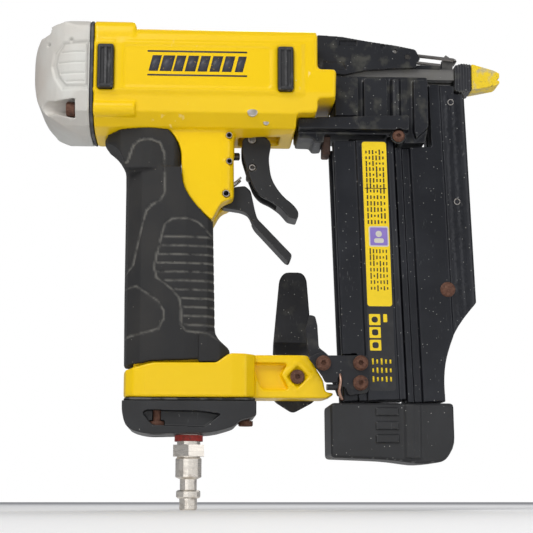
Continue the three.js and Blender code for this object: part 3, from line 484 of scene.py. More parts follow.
def groove_strength(points, facing):
    """How deep each point is in the grip's grooves, from 0 to 1."""
    x, y, z = points.T
    half_width = 0.75
    lines = np.zeros(len(x))
    for outline in (BACK_UPPER, BACK_LOWER, FRONT_FIELD):
        lines = np.maximum(lines, ramp(np.abs(inside(x, z, outline)), half_width, 0.15))
    lines *= ramp(np.abs(facing[:, 1]), 0.1, 0.3)
    nearest = np.round((RIB_TOP - z) / RIB_PITCH)
    rib = (nearest >= 0) & (nearest < RIB_COUNT)
    gap = np.abs(RIB_TOP - z - nearest * RIB_PITCH)
    field = ramp(inside(x, z, FRONT_FIELD), 0.6, 1.6)
    return np.maximum(lines, rib * field * ramp(gap, half_width, 0.15))


def grip_rubber():
    rubber = Finish("grip_rubber", (0.014, 0.014, 0.015), 0.75)
    rubber.tint(rubber.between(rubber.noise(28, 4), 0.45, 0.75), (0.032, 0.029, 0.026), 0.7)
    rubber.tint(rubber.specks(3.2, 0.26, 0.25), (0.34, 0.32, 0.28), 0.8)
    dust = rubber.times(rubber.marked("groove"), rubber.between(rubber.noise(4, 4), 0.3, 0.55))
    rubber.tint(dust, (0.15, 0.145, 0.13), 0.8)
    rubber.raised(rubber.noise(0.45, 3), 0.06, 0.5)
    return rubber.done()


grip = moulded("rubber_grip", ["grip"], 0.5, 3, 190000)
grip_points, grip_facing = drawn(grip)
grooves = groove_strength(grip_points, grip_facing)
moved(grip, grip_points - grip_facing * (0.42 * grooves)[:, None])
groove_mark = grip.data.attributes.new("groove", "FLOAT", "POINT")
groove_mark.data.foreach_set("value", grooves.astype(np.float32))
dressed(grip, grip_rubber(), "grip_rubber", "housing", "grip")

# ---- Bumpers ----------------------------------------------------------------------------------
# Four moulded rubber strips pressed into the barrel's sides, so that the tool can lie on a bench.
# Each has a rounded rim and a rib down its middle between two channels.


def bumper_rubber():
    rubber = Finish("bumper_rubber", (0.02, 0.02, 0.022), 0.6)
    rubber.tint(rubber.edges(0.52, 0.58), (0.2, 0.2, 0.2), 0.5)
    rubber.tint(rubber.specks(2.2, 0.2, 0.3), (0.3, 0.29, 0.27), 0.7)
    rubber.tint(rubber.between(rubber.noise(2.5, 6, (1, 1, 0.4)), 0.58, 0.7), (0.12, 0.12, 0.12), 0.7)
    rubber.raised(rubber.noise(0.4, 3), 0.05, 0.4)
    return rubber.done()


def centre(node):
    low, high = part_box(node)
    return (np.array((low + high) / 2) - DRAWING_ORIGIN) / MM


def eased_block(name, low, high, soft, segments):
    """A block between two corners, in metres, whose edges are to be rounded."""
    work = bmesh.new()
    at_middle = Matrix.Translation((low + high) / 2)
    bmesh.ops.create_cube(work, size=1, matrix=at_middle @ Matrix.Diagonal((*(high - low), 1)))
    piece = built(name, work)
    round_off = piece.modifiers.new("round", "BEVEL")
    round_off.width = soft * MM
    round_off.segments = segments
    return piece


def bumper(name, node):
    piece = eased_block(name, *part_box(node), 0.9, 4)
    skin = piece.modifiers.new("skin", "REMESH")
    skin.mode = "VOXEL"
    skin.voxel_size = 0.24 * MM
    settled(piece)
    middle = centre(node)

    def channels(points, facing):
        across = np.abs(np.abs(points[:, 0] - middle[0]) - 1.55)
        along = np.abs(points[:, 2] - middle[2])
        outward = facing[:, 1] * np.sign(middle[1]) > 0.6
        return -0.9 * outward * ramp(across, 1.0, 0.6) * ramp(along, 9.0, 8.4)

    pressed(piece, channels)
    return piece


black_rubber = bumper_rubber()
for node in ("rear_pad_left", "rear_pad_right", "front_pad_left", "front_pad_right"):
    dressed(bumper(f"bumper_{node}", node), black_rubber, "seal_rubber", "housing", node)

# ---- Rear cap -----------------------------------------------------------------------------------
# A cast aluminium cap closes the air chamber behind the cylinder. It is sprayed silver grey over
# a fine grain, and has a ribbed panel on each side and a scoop in front of each lower screw.

CAP_PANEL = [
    (-81, 102.3), (-96.8, 101.6), (-101, 97.1), (-102.3, 90.3), (-100.6, 84), (-96.7, 78.1), (-81, 78),
]
CAP_INNER = [
    (-85.2, 100.6), (-95.6, 100), (-98.6, 96), (-99.5, 90.3), (-98, 85), (-94.8, 80.6), (-85.2, 80.4),
]
CAP_RIB_GAPS = (96.4, 91.4, 86.2, 82.2)


def cap_relief(points, facing):
    x, y, z = points.T
    side = ramp(np.abs(facing[:, 1]), 0.25, 0.45) * (np.abs(y) > 12)
    band = ramp(inside(x, z, CAP_PANEL), -0.2, 1.0) * ramp(inside(x, z, CAP_INNER), 0.5, -0.5)
    inner = ramp(inside(x, z, CAP_INNER), 0.4, 1.0)
    gaps = sum(ramp(np.abs(z - height), 0.5, 0.12) for height in CAP_RIB_GAPS)
    dimples = sum(ramp(np.hypot(x - dx, z - dz), 1.3, 0.4) for dx, dz in ((-103.8, 101.4), (-92.8, 102.4)))
    return -side * (0.7 * band + 0.35 * inner * gaps + 0.9 * dimples)


def cap_paint():
    paint = Finish("cap_silver", (0.60, 0.595, 0.56), 0.5, 0.1)
    paint.tint(paint.between(paint.noise(34, 3), 0.4, 0.65), (0.52, 0.47, 0.42), 0.8)
    paint.tint(paint.specks(1.3, 0.2, 0.35), (0.3, 0.3, 0.28), 0.4)
    paint.tint(paint.specks(7, 0.4, 0.3), (0.16, 0.15, 0.14), 0.7)
    # Painted shade: the silver turns a darker grey in creases, where the mesh bends inward.
    paint.tint(paint.edges(0.49, 0.44), (0.25, 0.25, 0.23), 0.6)
    paint.raised(paint.noise(0.55, 4), 0.1, 0.6)
    return paint.done()


rear_cap = moulded("cast_rear_cap", ["rear_cap"], 0.45, 3)
pressed(rear_cap, cap_relief)
dressed(rear_cap, cap_paint(), "silver_paint", "housing", "rear_cap")


def gasket_rubber(name, colour, dust):
    rubber = Finish(name, colour, 0.7)
    rubber.tint(rubber.between(rubber.noise(5, 5), 0.45, 0.6), dust, 0.8)
    rubber.raised(rubber.noise(0.4, 2), 0.05, 0.4)
    return rubber.done()


cap_gasket = moulded("cap_seal", ["cap_gasket"], 0.35, 2)
dressed(cap_gasket, gasket_rubber("cap_seal_rubber", (0.05, 0.055, 0.065), (0.12, 0.12, 0.12)),
        "seal_rubber", "housing", "cap_gasket")

# ---- Socket screws --------------------------------------------------------------------------------
# Socket-head and button-head screws hold the caps, the nose and the latch bracket. They are plain
# steel that has rusted brown, with a dark hexagon socket in each head.


def stood(tree, shape, given):
    """A copy of the shape on every given point, turned to the point's axis."""
    axis = wired(tree, "GeometryNodeInputNamedAttribute", {"Name": "axis"}, data_type="FLOAT_VECTOR")
    turn = wired(tree, "FunctionNodeAlignRotationToVector", {"Vector": axis.outputs[0]}, axis="Z")
    return wired(tree, "GeometryNodeInstanceOnPoints", {
        "Points": given["Geometry"], "Instance": shape.outputs[0], "Rotation": turn.outputs[0],
    })


def screw_tree():
    """A screw head with a chamfered rim and a hexagon socket, stood along each point's axis."""
    tree, given, out = new_tree("socket_screws", {
        "Head radius": 0.0034, "Head height": 0.004, "Chamfer": 0.0006, "Socket radius": 0.0015,
        "Socket depth": 0.002, "Shank radius": 0.0018, "Shank length": 0.012, "Finish": None,
    })

    def column(sides, radius, length, from_z):
        shape = wired(tree, "GeometryNodeMeshCylinder", {
            "Vertices": sides, "Radius": radius, "Depth": length,
        })
        half = wired(tree, "ShaderNodeMath", {0: length, 1: 0.5}, operation="MULTIPLY")
        up = wired(tree, "ShaderNodeMath", {0: half.outputs[0], 1: from_z}, operation="ADD")
        lift = wired(tree, "ShaderNodeCombineXYZ", {"Z": up.outputs[0]})
        return wired(tree, "GeometryNodeTransform", {
            "Geometry": shape.outputs["Mesh"], "Translation": lift.outputs[0],
        })

    wall = wired(tree, "ShaderNodeMath", {0: given["Head height"], 1: given["Chamfer"]}, operation="SUBTRACT")
    head = column(32, given["Head radius"], wall.outputs[0], 0.0)
    narrow = wired(tree, "ShaderNodeMath", {
        0: given["Head radius"], 1: given["Chamfer"],
    }, operation="SUBTRACT")
    rim = wired(tree, "GeometryNodeMeshCone", {
        "Vertices": 32, "Radius Top": narrow.outputs[0], "Radius Bottom": given["Head radius"],
        "Depth": given["Chamfer"],
    })
    rim_lift = wired(tree, "ShaderNodeCombineXYZ", {"Z": wall.outputs[0]})
    rim_up = wired(tree, "GeometryNodeTransform", {
        "Geometry": rim.outputs["Mesh"], "Translation": rim_lift.outputs[0],
    })
    down = wired(tree, "ShaderNodeMath", {0: given["Shank length"], 1: -1.0}, operation="MULTIPLY")
    shank = column(16, given["Shank radius"], given["Shank length"], down.outputs[0])
    floor = wired(tree, "ShaderNodeMath", {
        0: given["Head height"], 1: given["Socket depth"],
    }, operation="SUBTRACT")
    deep = wired(tree, "ShaderNodeMath", {0: given["Socket depth"], 1: 2.0}, operation="MULTIPLY")
    socket = column(6, given["Socket radius"], deep.outputs[0], floor.outputs[0])
    whole = wired(tree, "GeometryNodeMeshBoolean", operation="UNION")
    for part in (head, rim_up, shank):
        tree.links.new(part.outputs[0], whole.inputs["Mesh 2"])
    bored = wired(tree, "GeometryNodeMeshBoolean", {"Mesh 1": whole.outputs[0]}, operation="DIFFERENCE")
    tree.links.new(socket.outputs[0], bored.inputs["Mesh 2"])
    heads = stood(tree, bored, given)
    return coated(tree, heads, given, out)


def stations(name, places):
    """A mesh of loose points, each with the axis of what stands on it."""
    mesh = bpy.data.meshes.new(name)
    mesh.from_pydata([placed(*place) for place, _ in places], [], [])
    axis = mesh.attributes.new("axis", "FLOAT_VECTOR", "POINT")
    axis.data.foreach_set("vector", [value for _, way in places for value in way])
    return mesh


def sharp_shaded(piece, angle=math.radians(35)):
    piece.data.shade_smooth()
    piece.data.set_sharp_from_angle(angle=angle)
    return piece


def rust():
    metal = Finish("rusted_steel", (0.10, 0.042, 0.026), 0.75, 0.3)
    metal.tint(metal.between(metal.noise(1.4, 6), 0.4, 0.65), (0.17, 0.08, 0.05), 0.8)
    metal.tint(metal.between(metal.noise(0.7, 4), 0.6, 0.75), (0.25, 0.15, 0.11), 0.6)
    metal.tint(metal.between(metal.noise(2.6, 3), 0.62, 0.75), (0.03, 0.022, 0.02), 0.8)
    metal.raised(metal.noise(0.35, 5), 0.12, 0.8)
    return metal.done()


rusted_steel = rust()
socket_screws = screw_tree()


def screws(name, places, body, nodes, **sizes):
    values = {key.replace("_", " ").capitalize(): size * MM for key, size in sizes.items()}
    piece = grown(socket_screws, name, values, stations(name, places))
    dressed(sharp_shaded(piece), rusted_steel, "rusty_steel", body, *nodes)


cap_places = [((-90.7, *centre(f"cap_screw_{i}")[1:]), (-1, 0, 0)) for i in range(1, 5)]
screws("cap_screws", cap_places, "housing", [f"cap_screw_{i}" for i in range(1, 5)],
       head_radius=3.4, head_height=4.0, chamfer=0.4, socket_radius=2.0, socket_depth=2.4, shank_length=21)
BASE_SCREW_SEATS = ((1, -74.5), (2, -74.5), (3, -73.5))
base_places = [((*centre(f"base_screw_{i}")[:2], z), (0, 0, -1)) for i, z in BASE_SCREW_SEATS]
screws("base_screws", base_places, "housing", [f"base_screw_{i}" for i in range(1, 4)],
       head_radius=3.4, head_height=2.4, chamfer=0.4, socket_radius=1.8, socket_depth=1.4, shank_length=17)
nose_places = [((62.2, side * 14.4, 61.1), (0, side, 0)) for side in (-1, 1)]
screws("nose_screws", nose_places, "housing", ["nose_screw_left", "nose_screw_right"],
       head_radius=2.9, head_height=1.5, chamfer=0.7, socket_radius=1.1, socket_depth=0.9,
       shank_radius=1.5, shank_length=8)
bracket_places = [((x, -14.7, z), (0, -1, 0)) for x, z in ((25.5, -47.5), (42.8, -47.4), (42.7, -56.6))]
screws("bracket_screws", bracket_places, "housing", [f"bracket_screw_{i}" for i in "abc"],
       head_radius=3.5, head_height=2.1, chamfer=0.9, socket_radius=1.3, socket_depth=1.1,
       shank_radius=1.4, shank_length=6)
hook_places = [((13.9, -8.9, -53.4), (0, -1, 0)), ((13.9, 14.6, -53.4), (0, 1, 0))]
screws("hook_bolt", hook_places, "housing", ["hook_screw"],
       head_radius=3.3, head_height=1.5, chamfer=0.4, socket_radius=1.3, socket_depth=1.0,
       shank_radius=2.3, shank_length=11.5)

# ---- Base gasket and base cap -----------------------------------------------------------------
# A dark gasket and a black plastic cap close the foot of the handle. The cap is moulded in
# glass-filled nylon with soft corners, and its lower edges have worn to a duller grey.


def black_plastic(name, colour=(0.010, 0.0105, 0.012), roughness=0.48, dust=0.25, scratched=True):
    plastic = Finish(name, colour, roughness)
    plastic.tint(plastic.between(plastic.noise(18, 4), 0.45, 0.75), (0.02, 0.021, 0.024), 0.7)
    if scratched:
        scratches = plastic.times(
            plastic.between(plastic.noise(0.5, 3, (1, 1, 0.12), (0, 0.5, 0)), 0.64, 0.70),
            plastic.between(plastic.noise(9, 2), 0.56, 0.64),
        )
        plastic.tint(scratches, (0.12, 0.12, 0.12), 0.6)
    plastic.tint(plastic.specks(2.0, 0.26, dust), (0.5, 0.49, 0.46), 0.9)
    plastic.tint(plastic.edges(0.53, 0.60), (0.10, 0.10, 0.10), 0.7)
    plastic.raised(plastic.noise(0.5, 3), 0.05, 0.4)
    return plastic.done()


base_gasket = moulded("base_seal", ["base_gasket"], 0.35, 2)
dressed(base_gasket, gasket_rubber("base_seal_rubber", (0.02, 0.02, 0.02), (0.13, 0.13, 0.12)),
        "seal_rubber", "housing", "base_gasket")
base_cap = moulded("base_cap_moulding", ["base_cap"], 0.36, 3)
nylon = black_plastic("black_nylon")
dressed(base_cap, nylon, "black_plastic", "housing", "base_cap")

# ---- Air plug -------------------------------------------------------------------------------------
# A turned steel quick-connect plug with a hexagon to screw it into the base cap. A ring of red
# thread sealant shows between the hexagon and the cap.


def steel(name, colour, roughness, turned_marks=True):
    metal = Finish(name, colour, roughness, 1.0)
    if turned_marks:
        rings = metal.between(metal.noise(0.35, 2, (0.03, 0.03, 1)), 0.3, 0.7)
        metal.sheen(rings, roughness + 0.12)
    metal.tint(metal.between(metal.noise(5, 5), 0.55, 0.7), (0.22, 0.16, 0.12), 0.5)
    metal.tint(metal.specks(2.0, 0.2, 0.3), (0.16, 0.1, 0.07), 0.7)
    metal.raised(metal.noise(0.3, 3), 0.02, 0.3)
    return metal.done()


plug_steel = steel("plug_steel", (0.78, 0.73, 0.66), 0.24)
plug = frame["nodes"]["air_plug"]
plug.data.materials.clear()
plug.data.materials.append(plug_steel)


def sealant():
    red = Finish("thread_sealant", (0.42, 0.03, 0.02), 0.55)
    red.tint(red.between(red.noise(1.5, 5), 0.5, 0.65), (0.2, 0.03, 0.02), 0.8)
    red.raised(red.noise(0.6, 4), 0.15, 0.8)
    return red.done()


red_sealant = sealant()

# ---- Trigger group --------------------------------------------------------------------------------
# A black plastic trigger pivots on a roll pin and presses the valve through a short link. Behind
# it a black lever, sprung upwards, must be squeezed first. Spring-steel roll pins hold them.

SKINS = {
    "trigger": (0.26, 2), "safety_lever": (0.24, 2), "nose_frame": (0.4, 2), "nose_collar": (0.26, 1),
    "magazine_body": (0.4, 2), "magazine_rail": (0.38, 1), "end_cap": (0.36, 3), "jam_lever": (0.28, 2),
    "nose_door": (0.28, 1), "latch_bracket": (0.26, 1), "latch_lever": (0.26, 2), "belt_hook": (0.3, 2),
    "no_mar_tip": (0.26, 3),
}


def reskinned(node, material, slot, body):
    grain, relax = SKINS[node]
    return dressed(moulded(f"{node}_skin", [node], grain, relax, 120000), material, slot, body, node)


trigger_plastic = black_plastic("trigger_plastic", (0.008, 0.008, 0.009), 0.42, 0.2, False)
reskinned("trigger", trigger_plastic, "black_plastic", "trigger")
reskinned("safety_lever", trigger_plastic, "black_plastic", "safety_lever")


def pin_tree():
    """Rolled tubes, slit along one side, stood along each point's axis."""
    tree, given, out = new_tree("roll_pins", {
        "Radius": 0.0015, "Wall": 0.0004, "Length": 0.03, "Finish": None,
    })
    circle = wired(tree, "GeometryNodeCurvePrimitiveCircle", {"Resolution": 28, "Radius": given["Radius"]})
    slit = wired(tree, "GeometryNodeTrimCurve", {"Curve": circle.outputs[0], 2: 0.02, 3: 0.98})
    section = wired(tree, "GeometryNodeCurvePrimitiveQuadrilateral", {
        "Width": given["Wall"], "Height": given["Length"],
    })
    tube = wired(tree, "GeometryNodeCurveToMesh", {
        "Curve": slit.outputs[0], "Profile Curve": section.outputs[0], "Fill Caps": True,
    })
    pins = stood(tree, tube, given)
    return coated(tree, pins, given, out)


roll_pins = pin_tree()
pin_steel = steel("pin_steel", (0.5, 0.47, 0.44), 0.4, False)


def faced_outward(piece):
    """Faces every closed shell of a piece outward."""
    work = bmesh.new()
    work.from_mesh(piece.data)
    bmesh.ops.remove_doubles(work, verts=work.verts, dist=1e-7)
    bmesh.ops.recalc_face_normals(work, faces=work.faces)
    work.to_mesh(piece.data)
    work.free()


def roll_pin(name, places, body, nodes, radius, length):
    values = {"Radius": radius * MM, "Wall": 0.28 * radius * MM, "Length": length * MM}
    piece = grown(roll_pins, name, values, stations(name, [(place, (0, 1, 0)) for place in places]))
    faced_outward(piece)
    dressed(sharp_shaded(piece), pin_steel, "spring_steel", body, *nodes)


roll_pin("trigger_roll_pin", [(-7.3, 0, 60.3)], "trigger", ["trigger_pin"], 1.6, 14.8)
roll_pin("link_roll_pin", [(-7.2, 0, 46.6)], "trigger", ["link_pin"], 1.3, 14.8)
roll_pin("valve_roll_pins", [(-18.5, 0, 59.9), (-18.3, 0, 47.3)], "housing",
         ["valve_pin_upper", "valve_pin_lower"], 1.25, 33.5)
roll_pin("lever_roll_pin", [tuple(centre("lever_pin"))], "housing", ["lever_pin"], 1.4,
         float((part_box("lever_pin")[1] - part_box("lever_pin")[0]).y / MM))

# ---- Nose ---------------------------------------------------------------------------------------
# A black anodised guide carries the pins. A door and a cammed lever with a wire bail close it on
# top, so that a bent pin can be taken out, and a ribbed collar holds the yellow no-mar tip.


def black_metal(name, colour=(0.012, 0.013, 0.017), roughness=0.42, grease=0.0, bare=0.3):
    metal = Finish(name, colour, roughness, 0.35)
    metal.tint(metal.between(metal.noise(22, 4), 0.45, 0.75), (0.022, 0.024, 0.03), 0.7)
    scratches = metal.times(
        metal.between(metal.noise(0.45, 3, (1, 1, 0.12), (0, 0.1, 0)), 0.64, 0.70),
        metal.between(metal.noise(8, 2), 0.56, 0.64),
    )
    metal.tint(scratches, (0.15, 0.15, 0.15), 0.6)
    metal.tint(metal.specks(1.7, 0.24, 0.4), (0.5, 0.5, 0.47), 0.9)
    metal.tint(metal.specks(5.5, 0.4, 0.12), (0.3, 0.29, 0.26), 0.7)
    metal.tint(metal.edges(0.535, 0.60), (0.34, 0.33, 0.31), bare)
    if grease:
        metal.tint(metal.times(metal.between(metal.noise(7, 9), 0.52, 0.68), grease), (0.17, 0.165, 0.13))
    metal.raised(metal.noise(0.5, 3), 0.05, 0.4)
    return metal.done()


nose_black = black_metal("nose_black", grease=0.3, bare=0.5)
magazine_black = black_metal("magazine_black", (0.009, 0.010, 0.014), 0.36)
# Painted shade: the steel parts inside the barrel and the nose are coloured near black, standing in for the
# shade they lie in.
shade_painted_steel = steel("shade_painted_inner_steel", (0.075, 0.07, 0.066), 0.45, False)
reskinned("nose_frame", nose_black, "black_aluminium", "housing")
reskinned("nose_door", nose_black, "black_aluminium", "nose_door")
LEVER_RECESS = [(24.6, 94.6), (26.6, 99.4), (36.6, 99.4), (38.6, 95.2)]


def lever_relief(points, facing):
    """The pressed lever's slot, its punched hole and the trapezoid recess behind them."""
    x, y, z = points.T
    side = np.abs(facing[:, 1]) > 0.5
    slot = ramp(np.abs(x - 39), 4.4, 3.8) * ramp(np.abs(z - 108.8), 1.3, 0.8)
    hole = ramp(np.hypot(x - 56, z - 107.6), 1.2, 0.7)
    recess = ramp(inside(x, z, LEVER_RECESS), 0.0, 0.5)
    return side * -(1.1 * np.maximum(slot, hole) + 0.5 * recess)


jam_lever = reskinned("jam_lever", nose_black, "black_aluminium", "jam_lever")
pressed(jam_lever, lever_relief)
collar = reskinned("nose_collar", nose_black, "black_aluminium", "housing")


def collar_ribs(points, facing):
    around = np.abs(facing[:, 0]) < 0.5
    return -0.3 * around * (0.5 + 0.5 * np.cos(2 * math.pi * (points[:, 0] - 91.3) / 1.35))


pressed(collar, collar_ribs)


def tip_plastic():
    plastic = Finish("no_mar_plastic", (0.85, 0.6, 0.01), 0.5)
    worn = plastic.between(plastic.noise(4.5, 5), 0.50, 0.64)
    plastic.tint(worn, (0.5, 0.44, 0.26), 0.8)
    plastic.tint(plastic.between(plastic.noise(2, 5), 0.6, 0.72), (0.08, 0.08, 0.07), 0.7)
    plastic.raised(plastic.noise(1.2, 4), 0.12, 0.6)
    return plastic.done()


reskinned("no_mar_tip", tip_plastic(), "tip_plastic", "housing")

# ---- Magazine -----------------------------------------------------------------------------------
# The fixed half of the magazine is an extrusion in black anodised aluminium; the other half slides
# down to load it. A moulded end cap closes its foot, and both halves are dusty and scratched.

RAIL_LINES = ((86.8, 90.9), (90.4, 94.4))


def rail_relief(points, facing):
    """Two rolled lines down the rail's side, from the drawn places at its top and its foot."""
    x, y, z = points.T
    side = np.abs(facing[:, 1]) > 0.6
    share = np.clip((81.8 - z) / (81.8 + 26), 0, 1)
    lines = sum(ramp(np.abs(x - top - share * (foot - top)), 0.55, 0.15) for top, foot in RAIL_LINES)
    return -0.45 * side * lines * ramp(z, 83.5, 82.5) * ramp(z, -28, -26)


reskinned("magazine_body", magazine_black, "black_aluminium", "housing")
rail = reskinned("magazine_rail", magazine_black, "black_aluminium", "magazine_slide")
pressed(rail, rail_relief)
END_CAP_RIBS = (-69.8, -76.2, -82.2)


def end_cap_relief(points, facing):
    """Three raised ribs on each side, their front ends level with the round boss."""
    x, y, z = points.T
    side = np.abs(facing[:, 1]) > 0.7
    ribs = sum(ramp(np.abs(z - height), 1.9, 1.4) for height in END_CAP_RIBS)
    return 0.35 * side * ribs * ramp(x, 49.2, 49.8) * ramp(x, 60.2, 59.6)


end_cap_plastic = black_plastic("end_cap_plastic", (0.012, 0.0125, 0.014), dust=0.4)
end_cap = reskinned("end_cap", end_cap_plastic, "black_plastic", "magazine_slide")
pressed(end_cap, end_cap_relief)
rail_pin_places = [(x, side * 7.2, z) for x, z in ((88.7, 79.9), (90.8, 30.8)) for side in (-1, 1)]
roll_pin("rail_roll_pins", rail_pin_places, "magazine_slide", [], 1.35, 2.8)

# ---- Latch ------------------------------------------------------------------------------------------
# A pressed steel bracket screwed to the magazine holds the spring latch that keeps it shut. The
# belt hook is bent steel strip under the same bolt, all of it painted black and worn.

latch_black = black_metal("latch_black", (0.012, 0.012, 0.015), 0.45, 0.15)
reskinned("latch_bracket", latch_black, "black_aluminium", "housing")
reskinned("latch_lever", latch_black, "black_aluminium", "latch_lever")
reskinned("belt_hook", latch_black, "black_aluminium", "housing")

# ---- Inside -----------------------------------------------------------------------------------------
# What works inside the barrel and the nose: the sleeve, the piston and its blade, the valves, the
# springs, the pusher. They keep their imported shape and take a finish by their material.

worn_rubber = gasket_rubber("worn_rubber", (0.02, 0.02, 0.02), (0.1, 0.1, 0.09))
spring_steel = steel("spring_wire", (0.35, 0.33, 0.31), 0.35, False)
aluminium = steel("turned_aluminium", (0.68, 0.68, 0.67), 0.35)
# The steel slot takes the near-black steel from the nose section, a painted shade over the parts inside.
inside_finish = {
    "yellow_paint": yellow_enamel, "grip_rubber": worn_rubber, "seal_rubber": worn_rubber,
    "black_plastic": nylon, "black_aluminium": nose_black, "steel": shade_painted_steel,
    "rusty_steel": rusted_steel, "spring_steel": spring_steel, "aluminium": aluminium,
    "red_sealant": red_sealant, "tip_plastic": trigger_plastic, "silver_paint": aluminium,
}
for subpart in frame["record"]["subparts"]:
    kept = frame["nodes"][subpart["node"]]
    if subpart["node"] == "air_plug" or kept.hide_render:
        continue
    for slot in kept.material_slots:
        slot.material = inside_finish[subpart["material_slot"]]


def coil(node):
    """The imported spring as a piece of its own, faced outward, in spring wire."""
    spring = merged(f"{node}_coil", [shown(node, frame["nodes"][node].data.copy())])
    faced_outward(spring)
    dressed(sharp_shaded(spring), spring_steel, "spring_steel", "housing", node)
    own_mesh(spring)


coil("valve_spring")
coil("head_valve_spring")

# ---- Label ------------------------------------------------------------------------------------------
# A printed film sticker on the magazine's side: yellow above with columns of small print and one
# picture sign in a frame, black below with three yellow signs. The print is short bars, not words.

LABEL_TOP, LABEL_FOOT, LABEL_SPLIT = (44.4, 59.0), (47.1, -60.0), -20.5
LABEL_WIDTH = 12.3


def dash_tree():
    """Columns of short bars of random length, standing along Z and facing Y."""
    tree, given, out = new_tree("label_dashes", {
        "Columns": 5, "Rows": 12, "Wide": 0.01, "High": 0.02, "Stroke": 0.0005, "Shortest": 0.4,
        "Seed": 2, "Finish": None,
    })
    points = wired(tree, "GeometryNodeMeshGrid", {
        "Size X": given["Wide"], "Size Y": given["High"],
        "Vertices X": given["Columns"], "Vertices Y": given["Rows"],
    })
    rows = wired(tree, "ShaderNodeMath", {0: given["High"], 1: given["Rows"]}, operation="DIVIDE")
    dash = wired(tree, "GeometryNodeMeshGrid", {
        "Size X": given["Stroke"], "Size Y": rows.outputs[0], "Vertices X": 2, "Vertices Y": 2,
    })
    length = wired(tree, "FunctionNodeRandomValue", {2: given["Shortest"], 3: 1.12, "Seed": given["Seed"]})
    scale = wired(tree, "ShaderNodeCombineXYZ", {"X": 1.0, "Y": length.outputs[1], "Z": 1.0})
    dashes = wired(tree, "GeometryNodeInstanceOnPoints", {
        "Points": points.outputs["Mesh"], "Instance": dash.outputs["Mesh"], "Scale": scale.outputs[0],
    })
    upright = wired(tree, "GeometryNodeTransform", {
        "Geometry": dashes.outputs[0], "Rotation": (math.pi / 2, 0, 0),
    })
    return coated(tree, upright, given, out)


def film(name, colour, second, roughness=0.42):
    print_film = Finish(name, colour, roughness)
    print_film.tint(print_film.between(print_film.noise(6, 5), 0.5, 0.7), second, 0.7)
    print_film.raised(print_film.noise(0.8, 2), 0.02, 0.3)
    return print_film.done()


label_y = (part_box("magazine_body")[0].y - DRAWING_ORIGIN[1]) / MM


def label_left(z):
    share = (LABEL_TOP[1] - z) / (LABEL_TOP[1] - LABEL_FOOT[1])
    return LABEL_TOP[0] + share * (LABEL_FOOT[0] - LABEL_TOP[0])


def patch(name, across, top, foot, layer, corner=0.0):
    """A thin film between two shares of the label's width and two heights, lifted by its layer."""
    steps = 6
    outline = []
    left, right = across
    for share, z, start in ((left, foot, 180), (right, foot, 270), (right, top, 0), (left, top, 90)):
        for step in range(steps + 1 if corner else 1):
            angle = math.radians(start + 90 * step / steps)
            inward_x = corner if share == left else -corner
            inward_z = corner if z == foot else -corner
            x = label_left(z) + share + inward_x + corner * math.cos(angle)
            outline.append((x, z + inward_z + corner * math.sin(angle)))
    work = bmesh.new()
    face_y = label_y - 0.04 * layer
    front = [work.verts.new(placed(x, face_y, z)) for x, z in outline]
    back = [work.verts.new(placed(x, face_y + 0.3, z)) for x, z in outline]
    work.faces.new(front)
    work.faces.new(back[::-1])
    for i in range(len(outline)):
        j = (i + 1) % len(outline)
        work.faces.new([front[j], front[i], back[i], back[j]])
    bmesh.ops.recalc_face_normals(work, faces=work.faces)
    return built(name, work)


def dashes(name, across, top, foot, columns, rows, stroke, shortest, seed, layer):
    piece = grown(label_dashes, name, {
        "Columns": columns, "Rows": rows, "Wide": (across[1] - across[0]) * MM, "High": (top - foot) * MM,
        "Stroke": stroke * MM, "Shortest": shortest, "Seed": seed,
    })
    for vertex in piece.data.vertices:
        x, _, z = vertex.co
        height = (top + foot) / 2 + z / MM
        middle = label_left(height) + (across[0] + across[1]) / 2
        vertex.co = placed(middle + x / MM, label_y - 0.04 * layer, height)
    thick = piece.modifiers.new("ink", "SOLIDIFY")
    thick.thickness = 0.04 * MM
    return settled(piece)


label_dashes = dash_tree()
label_yellow = film("label_yellow", (0.88, 0.62, 0.004), (0.80, 0.56, 0.003))
label_black = film("label_black", (0.012, 0.012, 0.014), (0.03, 0.03, 0.032))
label_ink = film("label_ink", (0.05, 0.035, 0.01), (0.12, 0.08, 0.01))
label_violet = film("label_violet", (0.24, 0.17, 0.52), (0.28, 0.2, 0.55))
label_white = film("label_white", (0.62, 0.6, 0.52), (0.5, 0.48, 0.4))
on_label = [
    ([patch("a", (0, LABEL_WIDTH), LABEL_TOP[1], LABEL_FOOT[1], 1, 1.6)], label_black),
    ([patch("b", (0.35, LABEL_WIDTH - 0.3), LABEL_TOP[1] - 0.4, LABEL_SPLIT, 2, 1.3)], label_yellow),
    ([patch("c", (2.2, 11.6), 17.6, 7.8, 3, 1.0)], label_white),
    ([patch("d", (2.8, 11.0), 17.0, 8.4, 4, 0.6)], label_violet),
    ([patch("e", (5.4, 8.4), 15.4, 12.4, 5, 1.5), patch("f", (4.6, 9.2), 11.8, 9.6, 5, 0.9)], label_white),
    ([
        dashes("g", (2.2, 10.2), 53.5, 37.0, 6, 7, 0.7, 0.35, 3, 3),
        dashes("h", (2.2, 10.2), 34.6, 19.6, 6, 6, 0.7, 0.35, 5, 3),
        dashes("i", (2.6, 10.2), 5.6, -12.0, 6, 7, 0.6, 0.35, 8, 3),
        patch("j", (1.0, 11.4), 36.1, 35.7, 3),
    ], label_ink),
    ([
        patch("k", (0.9, 6.2), -24.2, -29.4, 3, 0.4), patch("l", (0.9, 6.2), -30.3, -35.4, 3, 0.4),
        patch("m", (0.9, 6.2), -36.3, -41.3, 3, 0.4), patch("n", (7.6, 9.4), -24.2, -28.0, 3, 0.3),
        dashes("o", (2.0, 10.2), -46.4, -54.6, 5, 3, 0.8, 0.6, 4, 3),
    ], label_yellow),
    ([
        patch("p", (2.1, 5.0), -25.4, -28.2, 4, 1.3), patch("q", (2.1, 5.0), -31.4, -34.2, 4, 0.9),
        patch("r", (2.1, 5.0), -37.4, -40.2, 4, 1.0),
    ], label_black),
]
